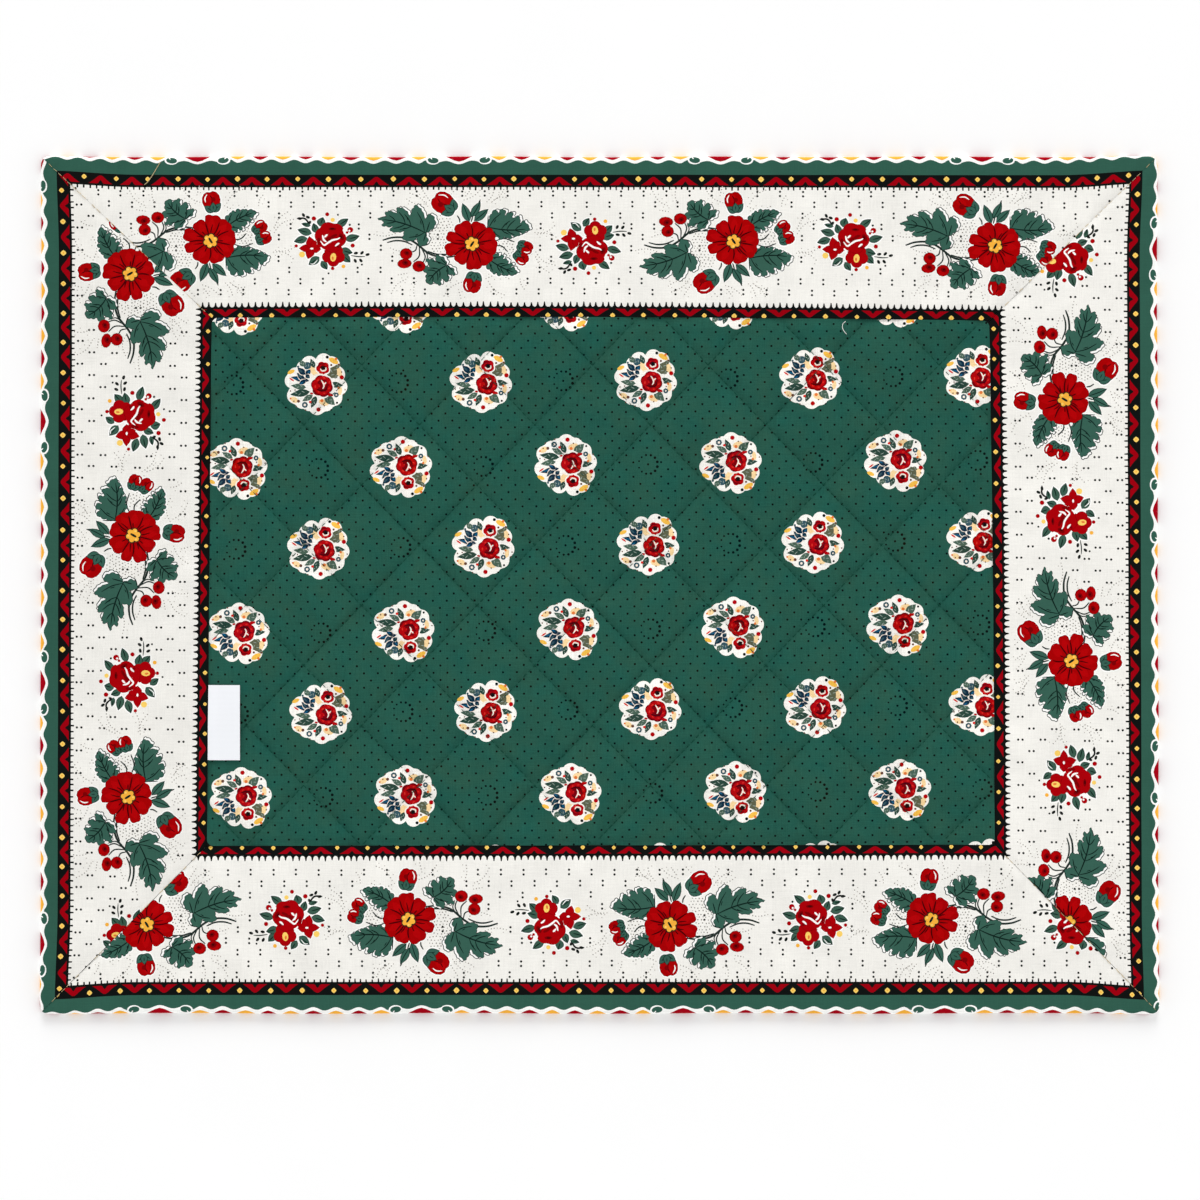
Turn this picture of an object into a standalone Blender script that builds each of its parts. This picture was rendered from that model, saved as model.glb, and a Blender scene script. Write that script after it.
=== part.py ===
"""Quilted fabric placemat, about 480 by 368 mm and 4 mm thick.

A diamond-quilted centre panel is framed by four mitred border strips whose outer edges are
folded and rounded. A plain label tab is caught in the seam at the left of the centre panel.
Every piece lies flat on the surface at height 0. X runs along the long side, Y towards the
far long side and Z up, with the origin under the middle of the mat.
"""

import math

import bmesh
import bpy
from mathutils import Vector

MM = 0.001

# Plan of the mat in millimetres. Each corner has the outer point of the mat and the inner
# point where the border strips meet the centre panel; neither outline is a true rectangle.
CORNERS = {
    "top_left": {"outer": (-239.9, 184.1), "inner": (-166.6, 114.8)},
    "top_right": {"outer": (239.6, 184.1), "inner": (167.4, 113.6)},
    "bottom_right": {"outer": (240.4, -184.1), "inner": (169.7, -111.5)},
    "bottom_left": {"outer": (-240.4, -184.1), "inner": (-168.6, -112.0)},
}

# Border strips, clockwise: name, start corner, end corner, waves along the outer edge.
STRIPS = (
    ("border_top", "top_left", "top_right", 5.0),
    ("border_right", "top_right", "bottom_right", 3.0),
    ("border_bottom", "bottom_right", "bottom_left", 4.0),
    ("border_left", "bottom_left", "top_left", 3.0),
)

SEAM_GAP = 0.3  # clear gap between pieces that meet at a seam
CORNER_RADIUS = 3.5  # rounding of the mat's outer corners
CORNER_STEPS = 3
STATION_PITCH = 16.0  # spacing of the sections along a strip
EDGE_WAVE = 0.35  # how far the outer edge wanders in and out
TOP_WAVE = 0.25  # rise and fall of a strip's top face along its length
TOP_WAVE_LENGTH = 74.0
BORDER_WIDTH = 71.0  # nominal width that the section below is drawn for

# Section of a border strip, from the underside at the outer fold over the top to the
# underside at the inner seam: distance from the outer edge, height, share of the top wave.
BORDER_SECTION = (
    (1.0, 0.0, 0.0),
    (0.25, 0.55, 0.0),
    (0.0, 1.4, 0.0),
    (0.35, 2.3, 0.2),
    (1.6, 2.9, 0.4),
    (5.0, 3.1, 0.6),
    (11.0, 2.8, 0.8),
    (24.0, 3.0, 1.0),
    (45.0, 3.0, 1.0),
    (63.0, 2.8, 0.6),
    (69.2, 2.7, 0.2),
    (BORDER_WIDTH - 0.5 * SEAM_GAP, 2.1, 0.0),
    (BORDER_WIDTH - 0.5 * SEAM_GAP, 0.0, 0.0),
)

# Diamond quilting of the centre panel.
QUILT_HALF_WIDTH = 24.8  # half of a diamond, along the long side
QUILT_HALF_HEIGHT = 25.8  # half of a diamond, along the short side
QUILT_CROSSING = (-3.0, -8.6)  # one crossing of the stitch lines, near the middle
QUILT_CELLS = 9  # cells built each way from that crossing, before the panel is cut
CELL_STATIONS = (0.0, 0.14, 0.36, 0.64, 0.86)  # cuts across one cell, as shares of it
STITCH_HEIGHT = 2.4  # top of the cloth on a stitch line
PUFF_HEIGHT = 1.4  # rise of a puff over the stitch lines
PUFF_ROUNDNESS = 0.6  # below 1 gives full puffs with narrow troughs
SEAM_DROP = 0.5  # how far the panel sinks at the border seam
SEAM_RAMP = 6.0  # distance over which it comes back up

# Label tab, whose left edge is caught in the seam of the left border strip.
LABEL_TOP = -42.9
LABEL_BOTTOM = -75.1
LABEL_RIGHT = -154.2
LABEL_THICKNESS = 1.0
LABEL_COLUMNS = 6
LABEL_ROWS = 4

# Finishes: name, colour, roughness.
FINISHES = {
    "centre_panel": ((0.019, 0.089, 0.063), 0.9),
    "border_top": ((0.87, 0.85, 0.80), 0.9),
    "border_right": ((0.86, 0.84, 0.79), 0.9),
    "border_bottom": ((0.87, 0.85, 0.80), 0.9),
    "border_left": ((0.85, 0.83, 0.78), 0.9),
    "label_tab": ((0.90, 0.91, 0.93), 0.7),
}


def clear_scene():
    """Remove whatever objects the scene starts with."""
    for item in list(bpy.data.objects):
        bpy.data.objects.remove(item, do_unlink=True)


def finish(name):
    """The cloth material of one piece."""
    colour, roughness = FINISHES[name]
    material = bpy.data.materials.new(name + "_cloth")
    material.use_nodes = True
    shader = material.node_tree.nodes["Principled BSDF"]
    shader.inputs["Base Color"].default_value = (*colour, 1.0)
    shader.inputs["Roughness"].default_value = roughness
    shader.inputs["Metallic"].default_value = 0.0
    return material


def make_piece(name, bm):
    """Turn a mesh drawn in millimetres into a named, finished object in metres."""
    bmesh.ops.recalc_face_normals(bm, faces=bm.faces)
    bmesh.ops.scale(bm, vec=(MM, MM, MM), verts=bm.verts)
    mesh = bpy.data.meshes.new(name)
    bm.to_mesh(mesh)
    bm.free()
    mesh.materials.append(finish(name))
    piece = bpy.data.objects.new(name, mesh)
    bpy.context.scene.collection.objects.link(piece)
    return piece


def trim(bm, point, outward, clear=True):
    """Cut the mesh along an upright plane and drop what lies beyond it."""
    bmesh.ops.bisect_plane(
        bm,
        geom=bm.verts[:] + bm.edges[:] + bm.faces[:],
        dist=1e-5,
        plane_co=point,
        plane_no=outward,
        clear_outer=clear,
    )


def smooth_step(share):
    """Ease from 0 to 1 as share goes from 0 to 1."""
    share = min(max(share, 0.0), 1.0)
    return share * share * (3.0 - 2.0 * share)


def outer_stations(length):
    """Distances along a strip's outer edge, with how far the rounded corner cuts in there."""
    arc = []
    for step in range(CORNER_STEPS + 1):
        angle = math.pi / 4 * (1.0 + step / CORNER_STEPS)
        along = CORNER_RADIUS * (1.0 - math.cos(angle))
        inset = CORNER_RADIUS * (1.0 - math.sin(angle))
        arc.append((along, inset))
    straight = length - 2.0 * CORNER_RADIUS
    count = round(straight / STATION_PITCH)
    middle = [(CORNER_RADIUS + straight * step / count, 0.0) for step in range(1, count)]
    far_arc = [(length - along, inset) for along, inset in reversed(arc)]
    return arc + middle + far_arc


def build_strip(name, start, end, waves):
    """One border strip: its section swept from mitre to mitre, then trimmed at both mitres."""
    outer_start = Vector(CORNERS[start]["outer"])
    outer_end = Vector(CORNERS[end]["outer"])
    inner_start = Vector(CORNERS[start]["inner"])
    inner_end = Vector(CORNERS[end]["inner"])
    length = (outer_end - outer_start).length
    direction = (outer_end - outer_start) / length
    inward = Vector((direction.y, -direction.x))
    stations = outer_stations(length)
    first = stations[0][0]
    span = stations[-1][0] - first

    bm = bmesh.new()
    rings = []
    for along, inset in stations:
        share = (along - first) / span
        wander = EDGE_WAVE * math.sin(math.pi * waves * share) ** 2
        outer = outer_start + direction * along + inward * (inset + wander)
        inner = inner_start.lerp(inner_end, share)
        wave = TOP_WAVE * math.sin(2.0 * math.pi * along / TOP_WAVE_LENGTH)
        ring = []
        for across, height, wave_share in BORDER_SECTION:
            spot = outer.lerp(inner, across / BORDER_WIDTH)
            ring.append(bm.verts.new((spot.x, spot.y, height + wave * wave_share)))
        rings.append(ring)
    for ring, next_ring in zip(rings, rings[1:]):
        for index in range(len(ring)):
            after = (index + 1) % len(ring)
            bm.faces.new((ring[index], ring[after], next_ring[after], next_ring[index]))
    bm.faces.new(rings[0])
    bm.faces.new(reversed(rings[-1]))

    for corner, side in ((start, -1.0), (end, 1.0)):
        inner_corner = Vector(CORNERS[corner]["inner"])
        mitre = (Vector(CORNERS[corner]["outer"]) - inner_corner).normalized()
        outward = Vector((-mitre.y, mitre.x))
        if outward.dot(direction) * side < 0.0:
            outward.negate()
        cut = inner_corner - outward * 0.5 * SEAM_GAP
        trim(bm, (cut.x, cut.y, 0.0), (outward.x, outward.y, 0.0))
        open_edges = [edge for edge in bm.edges if edge.is_boundary]
        bmesh.ops.holes_fill(bm, edges=open_edges, sides=0)
    return make_piece(name, bm)


def panel_sides():
    """Each side of the centre panel: a point on its seam line and the outward direction."""
    sides = []
    for _, start, end, _ in STRIPS:
        first = Vector(CORNERS[start]["inner"])
        second = Vector(CORNERS[end]["inner"])
        direction = (second - first).normalized()
        sides.append((first, Vector((-direction.y, direction.x))))
    return sides


def seam_height(x, y):
    """Height lost near the border seams, where the panel runs under the folded edge."""
    nearest = min(-(Vector((x, y)) - point).dot(outward) for point, outward in panel_sides())
    return SEAM_DROP * (1.0 - smooth_step(nearest / SEAM_RAMP))


def panel_height(x, y):
    """Top of the quilted panel: full puffs between the two sets of stitch lines."""
    across = (x - QUILT_CROSSING[0]) / QUILT_HALF_WIDTH
    along = (y - QUILT_CROSSING[1]) / QUILT_HALF_HEIGHT
    rising = abs(math.sin(math.pi * (across + along) / 2.0)) ** PUFF_ROUNDNESS
    falling = abs(math.sin(math.pi * (across - along) / 2.0)) ** PUFF_ROUNDNESS
    return STITCH_HEIGHT + PUFF_HEIGHT * rising * falling - seam_height(x, y)


def build_centre_panel():
    """The quilted panel: a sheet on the stitch lattice, cut to its seams and given depth."""
    cells = range(-QUILT_CELLS, QUILT_CELLS)
    stations = [cell + share for cell in cells for share in CELL_STATIONS]
    stations.append(float(QUILT_CELLS))
    bm = bmesh.new()
    grid = []
    for rising in stations:
        row = []
        for falling in stations:
            x = QUILT_CROSSING[0] + (rising + falling) * QUILT_HALF_WIDTH
            y = QUILT_CROSSING[1] + (rising - falling) * QUILT_HALF_HEIGHT
            row.append(bm.verts.new((x, y, 0.0)))
        grid.append(row)
    for row, next_row in zip(grid, grid[1:]):
        for index in range(len(row) - 1):
            bm.faces.new((row[index], row[index + 1], next_row[index + 1], next_row[index]))

    for point, outward in panel_sides():
        edge = point - outward * 0.5 * SEAM_GAP
        trim(bm, (edge.x, edge.y, 0.0), (outward.x, outward.y, 0.0))
    for inset in (SEAM_RAMP / 4.0, SEAM_RAMP):
        for point, outward in panel_sides():
            line = point - outward * inset
            trim(bm, (line.x, line.y, 0.0), (outward.x, outward.y, 0.0), clear=False)
    for vert in bm.verts:
        vert.co.z = panel_height(vert.co.x, vert.co.y)

    rim = [edge for edge in bm.edges if edge.is_boundary]
    skirt = bmesh.ops.extrude_edge_only(bm, edges=rim)["geom"]
    for vert in (item for item in skirt if isinstance(item, bmesh.types.BMVert)):
        vert.co.z = 0.0
    bmesh.ops.holes_fill(bm, edges=[edge for edge in bm.edges if edge.is_boundary], sides=0)
    return make_piece("centre_panel", bm)


def seam_x(y):
    """Where the seam of the left border strip lies at height y of the plan."""
    top = CORNERS["top_left"]["inner"]
    bottom = CORNERS["bottom_left"]["inner"]
    return bottom[0] + (top[0] - bottom[0]) * (y - bottom[1]) / (top[1] - bottom[1])


def build_label_tab():
    """The label: a thin oblong that bridges the puffs and ends at the left seam."""
    bm = bmesh.new()
    layers = []
    for lift in (SEAM_GAP, SEAM_GAP + LABEL_THICKNESS):
        rows = []
        for row_index in range(LABEL_ROWS + 1):
            y = LABEL_BOTTOM + (LABEL_TOP - LABEL_BOTTOM) * row_index / LABEL_ROWS
            left = seam_x(y) + 0.5 * SEAM_GAP
            row = []
            for column in range(LABEL_COLUMNS + 1):
                x = left + (LABEL_RIGHT - left) * column / LABEL_COLUMNS
                bridge = STITCH_HEIGHT + PUFF_HEIGHT - seam_height(x, y)
                row.append(bm.verts.new((x, y, bridge + lift)))
            rows.append(row)
        layers.append(rows)
    for rows in layers:
        for row, next_row in zip(rows, rows[1:]):
            for index in range(LABEL_COLUMNS):
                bm.faces.new((row[index], row[index + 1], next_row[index + 1], next_row[index]))
    lower, upper = (label_rim(rows) for rows in layers)
    for index in range(len(lower)):
        after = (index + 1) % len(lower)
        bm.faces.new((lower[index], lower[after], upper[after], upper[index]))
    return make_piece("label_tab", bm)


def label_rim(rows):
    """The points around the edge of one layer of the label, in order."""
    right = [row[-1] for row in rows[1:-1]]
    left = [row[0] for row in rows[1:-1]]
    return rows[0] + right + rows[-1][::-1] + left[::-1]


clear_scene()
build_centre_panel()
for strip in STRIPS:
    build_strip(*strip)
build_label_tab()
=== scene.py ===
import cmath
import math
import random

import bpy
import numpy as np
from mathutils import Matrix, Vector
from mathutils.geometry import delaunay_2d_cdt


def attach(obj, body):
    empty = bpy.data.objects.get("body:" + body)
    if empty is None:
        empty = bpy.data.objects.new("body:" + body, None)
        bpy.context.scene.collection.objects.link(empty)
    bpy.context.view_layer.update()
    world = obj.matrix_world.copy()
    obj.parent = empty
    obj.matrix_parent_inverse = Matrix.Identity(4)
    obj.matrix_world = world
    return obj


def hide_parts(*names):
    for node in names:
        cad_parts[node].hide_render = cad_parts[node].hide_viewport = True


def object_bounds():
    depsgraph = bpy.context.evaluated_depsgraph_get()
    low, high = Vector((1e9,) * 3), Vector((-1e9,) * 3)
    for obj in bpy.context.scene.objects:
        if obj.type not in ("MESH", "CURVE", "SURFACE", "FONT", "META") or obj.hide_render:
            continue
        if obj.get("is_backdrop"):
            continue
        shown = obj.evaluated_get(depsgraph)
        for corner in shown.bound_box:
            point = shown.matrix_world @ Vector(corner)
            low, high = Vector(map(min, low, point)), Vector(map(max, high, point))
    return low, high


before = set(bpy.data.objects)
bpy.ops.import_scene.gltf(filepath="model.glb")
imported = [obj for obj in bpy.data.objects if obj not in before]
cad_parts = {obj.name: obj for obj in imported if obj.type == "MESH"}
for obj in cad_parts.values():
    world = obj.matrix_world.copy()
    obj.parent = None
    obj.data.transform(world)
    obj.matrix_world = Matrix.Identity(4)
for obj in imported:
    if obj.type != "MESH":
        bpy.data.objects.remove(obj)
solid_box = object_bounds()

# ---------------------------------------------------------------------------------------------
# Centre panel: one oblong of plain-woven cotton, printed bottle green with black pin dots,
# dotted rings and small cream bouquets. It lies over thin wadding and a cotton backing and is
# machine quilted in diamonds, so the cloth puffs up between the lines of stitches.

MM = 0.001

# Corners of the panel at its seams, in millimetres from the middle of the mat (x + y j).
SEAM_CORNERS = {
    "top_left": -166.6 + 114.8j,
    "top_right": 167.4 + 113.6j,
    "bottom_right": 169.7 - 111.5j,
    "bottom_left": -168.6 - 112.0j,
}
SEAM_SLIT = 0.06  # half of the fine dark slit that shows along a seam
SEAM_BOWS = (0.9, 0.4, 0.0, 0.0)  # how far each seam bows outward, clockwise from the top

# Quilting diamonds, as sewn: half sizes, one crossing of the stitch lines, and the puffs.
DIAMOND_HALF = (24.8, 25.8)
DIAMOND_CROSSING = (-3.0, -8.6)
STITCHED_THICKNESS = 2.0
TROUGH_DEPTH = 0.4
TROUGH_REACH = 3.5
# Painted shade: how much darker the cloth's colour is made along the quilting troughs.
PAINTED_TROUGH_SHADE = 0.08
PUFF_RISE = 1.1
PUFF_FULLNESS = 0.8
SEAM_SINK = 0.9
SEAM_SINK_REACH = 5.0

# Printing inks, as 0-255 screen colours.
INKS = {
    "bottle green": (38, 87, 74),
    "black": (10, 18, 16),
    "cream": (248, 245, 238),
    "red": (176, 6, 12),
    "light red": (212, 44, 36),
    "dark red": (116, 2, 12),
    "maroon": (72, 4, 10),
    "rose white": (246, 232, 218),
    "yellow": (244, 190, 78),
    "peach": (247, 214, 160),
    "orange": (226, 120, 58),
    "navy": (18, 46, 66),
    "blue": (22, 86, 122),
    "slate": (54, 84, 94),
    "olive": (92, 96, 74),
    "sage": (74, 98, 84),
    "deep sage": (44, 70, 60),
    "brown": (104, 66, 50),
    "haze": (150, 164, 154),
    "seam black": (16, 20, 19),
}


def linear(colour):
    """A 0-255 screen colour as the linear numbers a shader takes."""
    return [((c / 255 + 0.055) / 1.055) ** 2.4 if c > 10 else c / 255 / 12.92 for c in colour]


def lean(degrees):
    """A unit step in that direction on the flat cloth."""
    return cmath.rect(1.0, math.radians(degrees))


def patch(centre, radius, sides=8, squash=1.0, tilt=0.0):
    """A round or oval spot of ink."""
    corners = (cmath.rect(radius, 2 * math.pi * k / sides) for k in range(sides))
    return [centre + lean(tilt) * complex(c.real, c.imag * squash) for c in corners]


def smooth_path(points, steps=5):
    """More points along a soft curve that passes through the given ones."""
    ends = [2 * points[0] - points[1], *points, 2 * points[-1] - points[-2]]
    path = []
    for a, b, c, d in zip(ends, ends[1:], ends[2:], ends[3:]):
        for k in range(steps):
            u = k / steps
            bend = (2 * a - 5 * b + 4 * c - d) * u * u + (3 * b - a - 3 * c + d) * u**3
            path.append(b + 0.5 * ((c - a) * u + bend))
    return path + [points[-1]]


def pen(points, width, blunt=0.35):
    """A pen line: the outline of a stroke that swells in the middle and thins at its ends."""
    path = smooth_path(points, 5 if len(points) > 2 else 3)  # a straight stroke needs fewer
    left, right = [], []
    for k, point in enumerate(path):
        ahead = path[min(k + 1, len(path) - 1)] - path[max(k - 1, 0)]
        side = 1j * ahead / max(abs(ahead), 1e-9)
        swell = blunt + (1 - blunt) * math.sin(math.pi * k / (len(path) - 1)) ** 0.6
        left.append(point + side * width / 2 * swell)
        right.append(point - side * width / 2 * swell)
    return left + right[::-1]


def plain_leaf(base, tip, width, steps=5):
    """A small pointed leaf without teeth."""
    axis = tip - base
    side = 1j * axis / abs(axis) * width / 2
    edge = [(k / steps, math.sin(math.pi * (k / steps) ** 0.8)) for k in range(steps + 1)]
    near = [base + axis * u + side * h for u, h in edge]
    far = [base + axis * u - side * h for u, h in edge[-2:0:-1]]
    return near + far


def scalloped(centre, lobes, steps=80):
    """The outline round a ring of overlapping discs: direction, distance and radius of each."""
    outline = []
    for k in range(steps):
        angle = 360.0 * k / steps
        reach = 0.0
        for direction, distance, radius in lobes:
            off = math.radians(angle - direction)
            across = radius**2 - (distance * math.sin(off)) ** 2
            if across > 0 and math.cos(off) > 0:
                reach = max(reach, distance * math.cos(off) + math.sqrt(across))
        outline.append(centre + lean(angle) * reach)
    return outline


def rosette(centre, count, turn, distance, radius, edge, inks, steps):
    """A ring of overlapping discs in the second ink, on a wider one in the first."""
    shapes = []
    for ink, more in zip(inks, (edge, 0)):
        lobes = [(360 // count * k + turn, distance, radius + more) for k in range(count)]
        shapes.append((ink, scalloped(centre, lobes, steps)))
    return shapes


def placed(motif, at, turn=0.0, flip=False, size=1.0):
    """The motif's inked shapes moved, turned, scaled and perhaps mirrored top to bottom."""
    step = lean(turn) * size
    return [
        (ink, [at + step * (p.conjugate() if flip else p) for p in shape]) for ink, shape in motif
    ]


# Direction, distance and radius of each lobe.
BOUQUET_EDGE = (
    (88, 9.8, 3.6), (64, 9.3, 3.5), (38, 9.8, 3.5), (8, 9.9, 3.6), (-24, 9.7, 3.6),
    (-51, 10.3, 3.8), (-71, 10.2, 3.4), (-108, 8.9, 3.5), (-127, 8.6, 3.1), (-156, 9.4, 3.3),
    (-172, 10.1, 3.4), (151, 10.2, 3.6), (129, 9.5, 3.3), (110, 8.9, 3.3),
)
# Ink, base, tip and width of each leaf.
BOUQUET_LEAVES = (
    ("deep sage", -2.6 + 3.4j, -11.2 + 4.6j, 3.2), ("sage", -4.2 + 1.6j, -10.8 + 0.6j, 2.6),
    ("slate", -2.2 - 6.8j, -5.6 - 9.0j, 3.4), ("sage", -5.0 - 7.4j, -6.8 - 10.2j, 2.4),
    ("deep sage", -0.6 - 6.8j, -2.2 - 10.8j, 2.2), ("deep sage", 0.0 + 5.2j, -2.2 + 10.4j, 2.6),
    ("sage", -1.4 + 4.8j, -6.0 + 7.4j, 2.4), ("sage", 3.6 + 5.0j, 8.0 + 9.2j, 3.6),
    ("deep sage", 5.8 + 0.2j, 11.6 + 0.8j, 2.6), ("olive", 5.6 - 2.2j, 8.6 - 7.8j, 4.4),
    ("olive", 7.4 - 2.6j, 9.6 - 3.6j, 1.6), ("olive", 8.0 - 6.6j, 10.6 - 8.2j, 1.8),
)
# Base, tip and width of the dark blue brush strokes.
BLUE_STROKES = (
    (-2.8 - 1.2j, -10.9 - 3.0j, 2.5), (-4.8 - 1.4j, -8.2 - 4.8j, 2.2),
    (-4.2 - 1.6j, -7.4 + 0.2j, 2.0), (-4.4 - 3.9j, -7.9 - 7.0j, 2.6),
    (-4.2 - 3.8j, -2.3 - 6.2j, 2.2), (-4.4 - 3.9j, -2.6 - 2.4j, 1.9),
)
# Place, radius, squash and tilt of the lighter petals of the rose.
ROSE_PETALS = (
    (-0.4 + 0.9j, 2.1, 0.66, 74), (0.7 - 1.4j, 1.9, 0.6, -42), (3.2 - 2.5j, 1.9, 0.5, 4),
    (5.6 - 0.9j, 1.7, 0.56, 62), (5.4 + 2.2j, 1.7, 0.6, -62), (3.2 + 4.1j, 1.6, 0.5, -10),
    (0.8 + 3.3j, 1.5, 0.56, 36), (3.4 - 0.2j, 1.3, 0.6, 40), (1.2 + 0.8j, 0.9, 0.6, 60),
)
# The same of the pale washes of colour, with their ink.
BOUQUET_WASHES = (
    ("peach", -0.6 - 5.4j, 2.8, 0.6, 40), ("peach", 3.2 + 8.0j, 2.3, 0.6, 20),
    ("yellow", 7.6 - 9.8j, 2.3, 0.5, 30), ("peach", 9.8 - 5.0j, 2.2, 0.6, 70),
    ("yellow", -10.6 - 5.2j, 1.7, 0.5, -25), ("peach", -9.4 + 6.8j, 1.8, 0.7, 30),
    ("peach", 10.2 + 3.2j, 1.9, 0.5, 100),
)
BOUQUET_SPOTS = (
    ("red", 0.9 + 11.0j, 1.0), ("orange", 2.4 + 7.2j, 0.75), ("red", 11.0 - 2.7j, 1.0),
    ("black", 4.9 - 11.4j, 0.7), ("brown", -7.6 + 7.4j, 0.7), ("slate", 8.6 + 4.8j, 1.15),
    ("black", 8.9 + 8.2j, 0.5), ("slate", -4.9 + 9.0j, 1.35), ("red", 5.6 + 4.6j, 0.8),
    ("orange", -11.0 + 6.2j, 0.45), ("brown", 6.6 - 8.0j, 0.5), ("orange", 9.6 + 1.8j, 0.55),
    ("brown", 9.8 - 8.2j, 0.45), ("black", 6.4 + 11.2j, 0.4), ("slate", -7.6 - 7.4j, 0.5),
    ("orange", 8.6 - 10.6j, 0.6), ("light red", -2.6 + 7.8j, 0.6),
)
BOUQUET_DOTS = (
    -9.6 + 7.4j, -11.0 + 3.0j, -8.6 + 9.6j, 11.8 + 4.6j, 12.4 + 2.6j, 11.0 - 5.0j, -4.6 + 11.2j,
    3.4 + 9.4j, -9.0 + 2.6j, 8.8 + 3.0j,
)


def bouquet():
    """The cream patch with a rose, a small flower, leaves and loose spots, about 27 mm wide."""
    shapes = [("cream", scalloped(0, BOUQUET_EDGE))]
    for ink, at, radius, squash, tilt in BOUQUET_WASHES:
        shapes.append((ink, patch(at, radius, 9, squash, tilt)))
    for ink, base, tip, width in BOUQUET_LEAVES:
        axis = tip - base
        shapes.append((ink, plain_leaf(base, tip, width, 6)))
        hatch = 1j * axis / abs(axis) * width * 0.26
        for part, way in ((0.36, 1), (0.56, -1), (0.74, 1)):
            at = base + axis * part
            stroke = [at - axis * 0.1, at + axis * 0.05 + hatch * way]
            shapes.append(("haze", pen(stroke, 0.3)))
    for number, (base, tip, width) in enumerate(BLUE_STROKES):
        shapes.append(("rose white", plain_leaf(base, tip, width + 0.7, 5)))
        shapes.append(("navy", plain_leaf(base, tip, width, 5)))
        gleam = [base + (tip - base) * part + 0.2j for part in (0.4, 0.62, 0.85)]
        shapes.append((("blue", "slate")[number % 2], pen(gleam, 0.75)))
    shapes += rosette(3.0 - 6.7j, 5, 30, 1.4, 1.5, 0.5, ("cream", "red"), 36)
    shapes += [
        ("dark red", pen([0.8 - 7.2j, 1.9 - 8.5j, 4.0 - 8.4j], 0.8)),
        ("light red", pen([1.4 - 5.6j, 2.6 - 4.8j], 0.6)),
        ("maroon", patch(3.3 - 6.6j, 1.55, 8, 0.8, 30)),
        ("rose white", pen([1.9 - 6.4j, 2.7 - 5.5j, 4.2 - 5.9j, 4.3 - 7.0j], 0.6, 0.5)),
        ("black", patch(3.2 - 6.7j, 0.8, 7, 0.8, 60)),
    ]
    shapes += rosette(2.5 + 1.0j, 6, 15, 2.4, 2.35, 0.55, ("cream", "dark red"), 42)
    for at, radius, squash, tilt in ROSE_PETALS:
        shapes.append(("red", patch(at, radius, 9, squash, tilt)))
        shapes.append(("light red", patch(at + 0.3 * lean(tilt), radius * 0.34, 6, 0.5, tilt + 20)))
    shapes.append(("maroon", pen([0.2 + 2.3j, 1.8 + 2.9j, 4.2 + 2.6j, 4.9 + 1.0j], 0.6)))
    shapes.append(("maroon", pen([0.6 - 0.2j, 1.9 - 1.3j, 3.9 - 1.3j], 0.5)))
    for stroke in ((2.8 + 2.2j, 3.4 + 1.0j, 3.0 - 0.4j, 2.2 - 1.6j), (3.3 + 0.4j, 4.4 - 0.6j),
                   (-1.6 - 3.0j, 0.4 - 4.0j, 3.0 - 4.1j)):
        shapes.append(("rose white", pen(stroke, 0.6)))
    shapes += [
        ("red", pen([6.0 + 4.4j, 7.2 + 5.2j], 1.1)),
        ("red", pen([-2.6 + 4.0j, -1.2 + 4.3j], 0.9)),
        ("light red", pen([-11.4 - 2.6j, -9.4 - 1.2j], 0.7)),
    ]
    for ink, at, radius in BOUQUET_SPOTS:
        shapes.append((ink, patch(at, radius, 7)))
    for at in BOUQUET_DOTS:
        shapes.append(("brown", patch(at, 0.36, 5)))
    shapes.append(("rose white", patch(-4.9 + 9.0j, 0.6, 5)))
    shapes.append(("rose white", patch(8.6 + 4.8j, 0.4, 5)))
    return shapes


def dotted_ring():
    """A ring of black dots that grow from left to right, with one dot in the middle."""
    shapes = [("black", patch(0, 0.52, 6))]
    for k in range(12):
        angle = 160 - 320.0 * k / 11
        radius = 0.4 + 0.28 * (1 + math.cos(math.radians(angle + 5))) / 2
        shapes.append(("black", patch(lean(angle) * 4.1, radius, 6)))
    return shapes


# The print repeats on a slightly turned lattice; bouquets and rings alternate, and every other
# row is mirrored and a little out of step.
REPEAT_START = -13.55 - 19.2j
REPEAT_ACROSS = 35.35 + 0.43j
REPEAT_UP = -0.49 + 35.28j
ODD_ROW_SHIFT = -0.55 + 1.0j
PRINT_TURN = 0.45
PIN_DOT_PITCH = (5.96, 6.18)
PIN_DOT_RADIUS = 0.5
BOUQUET_CLEAR = 14.2
RING_CLEAR = 5.6
CORNER_TUCK = 3.0
PRINT_REACH = (185, 130)
DOT_REACH = (171, 117)


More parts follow.
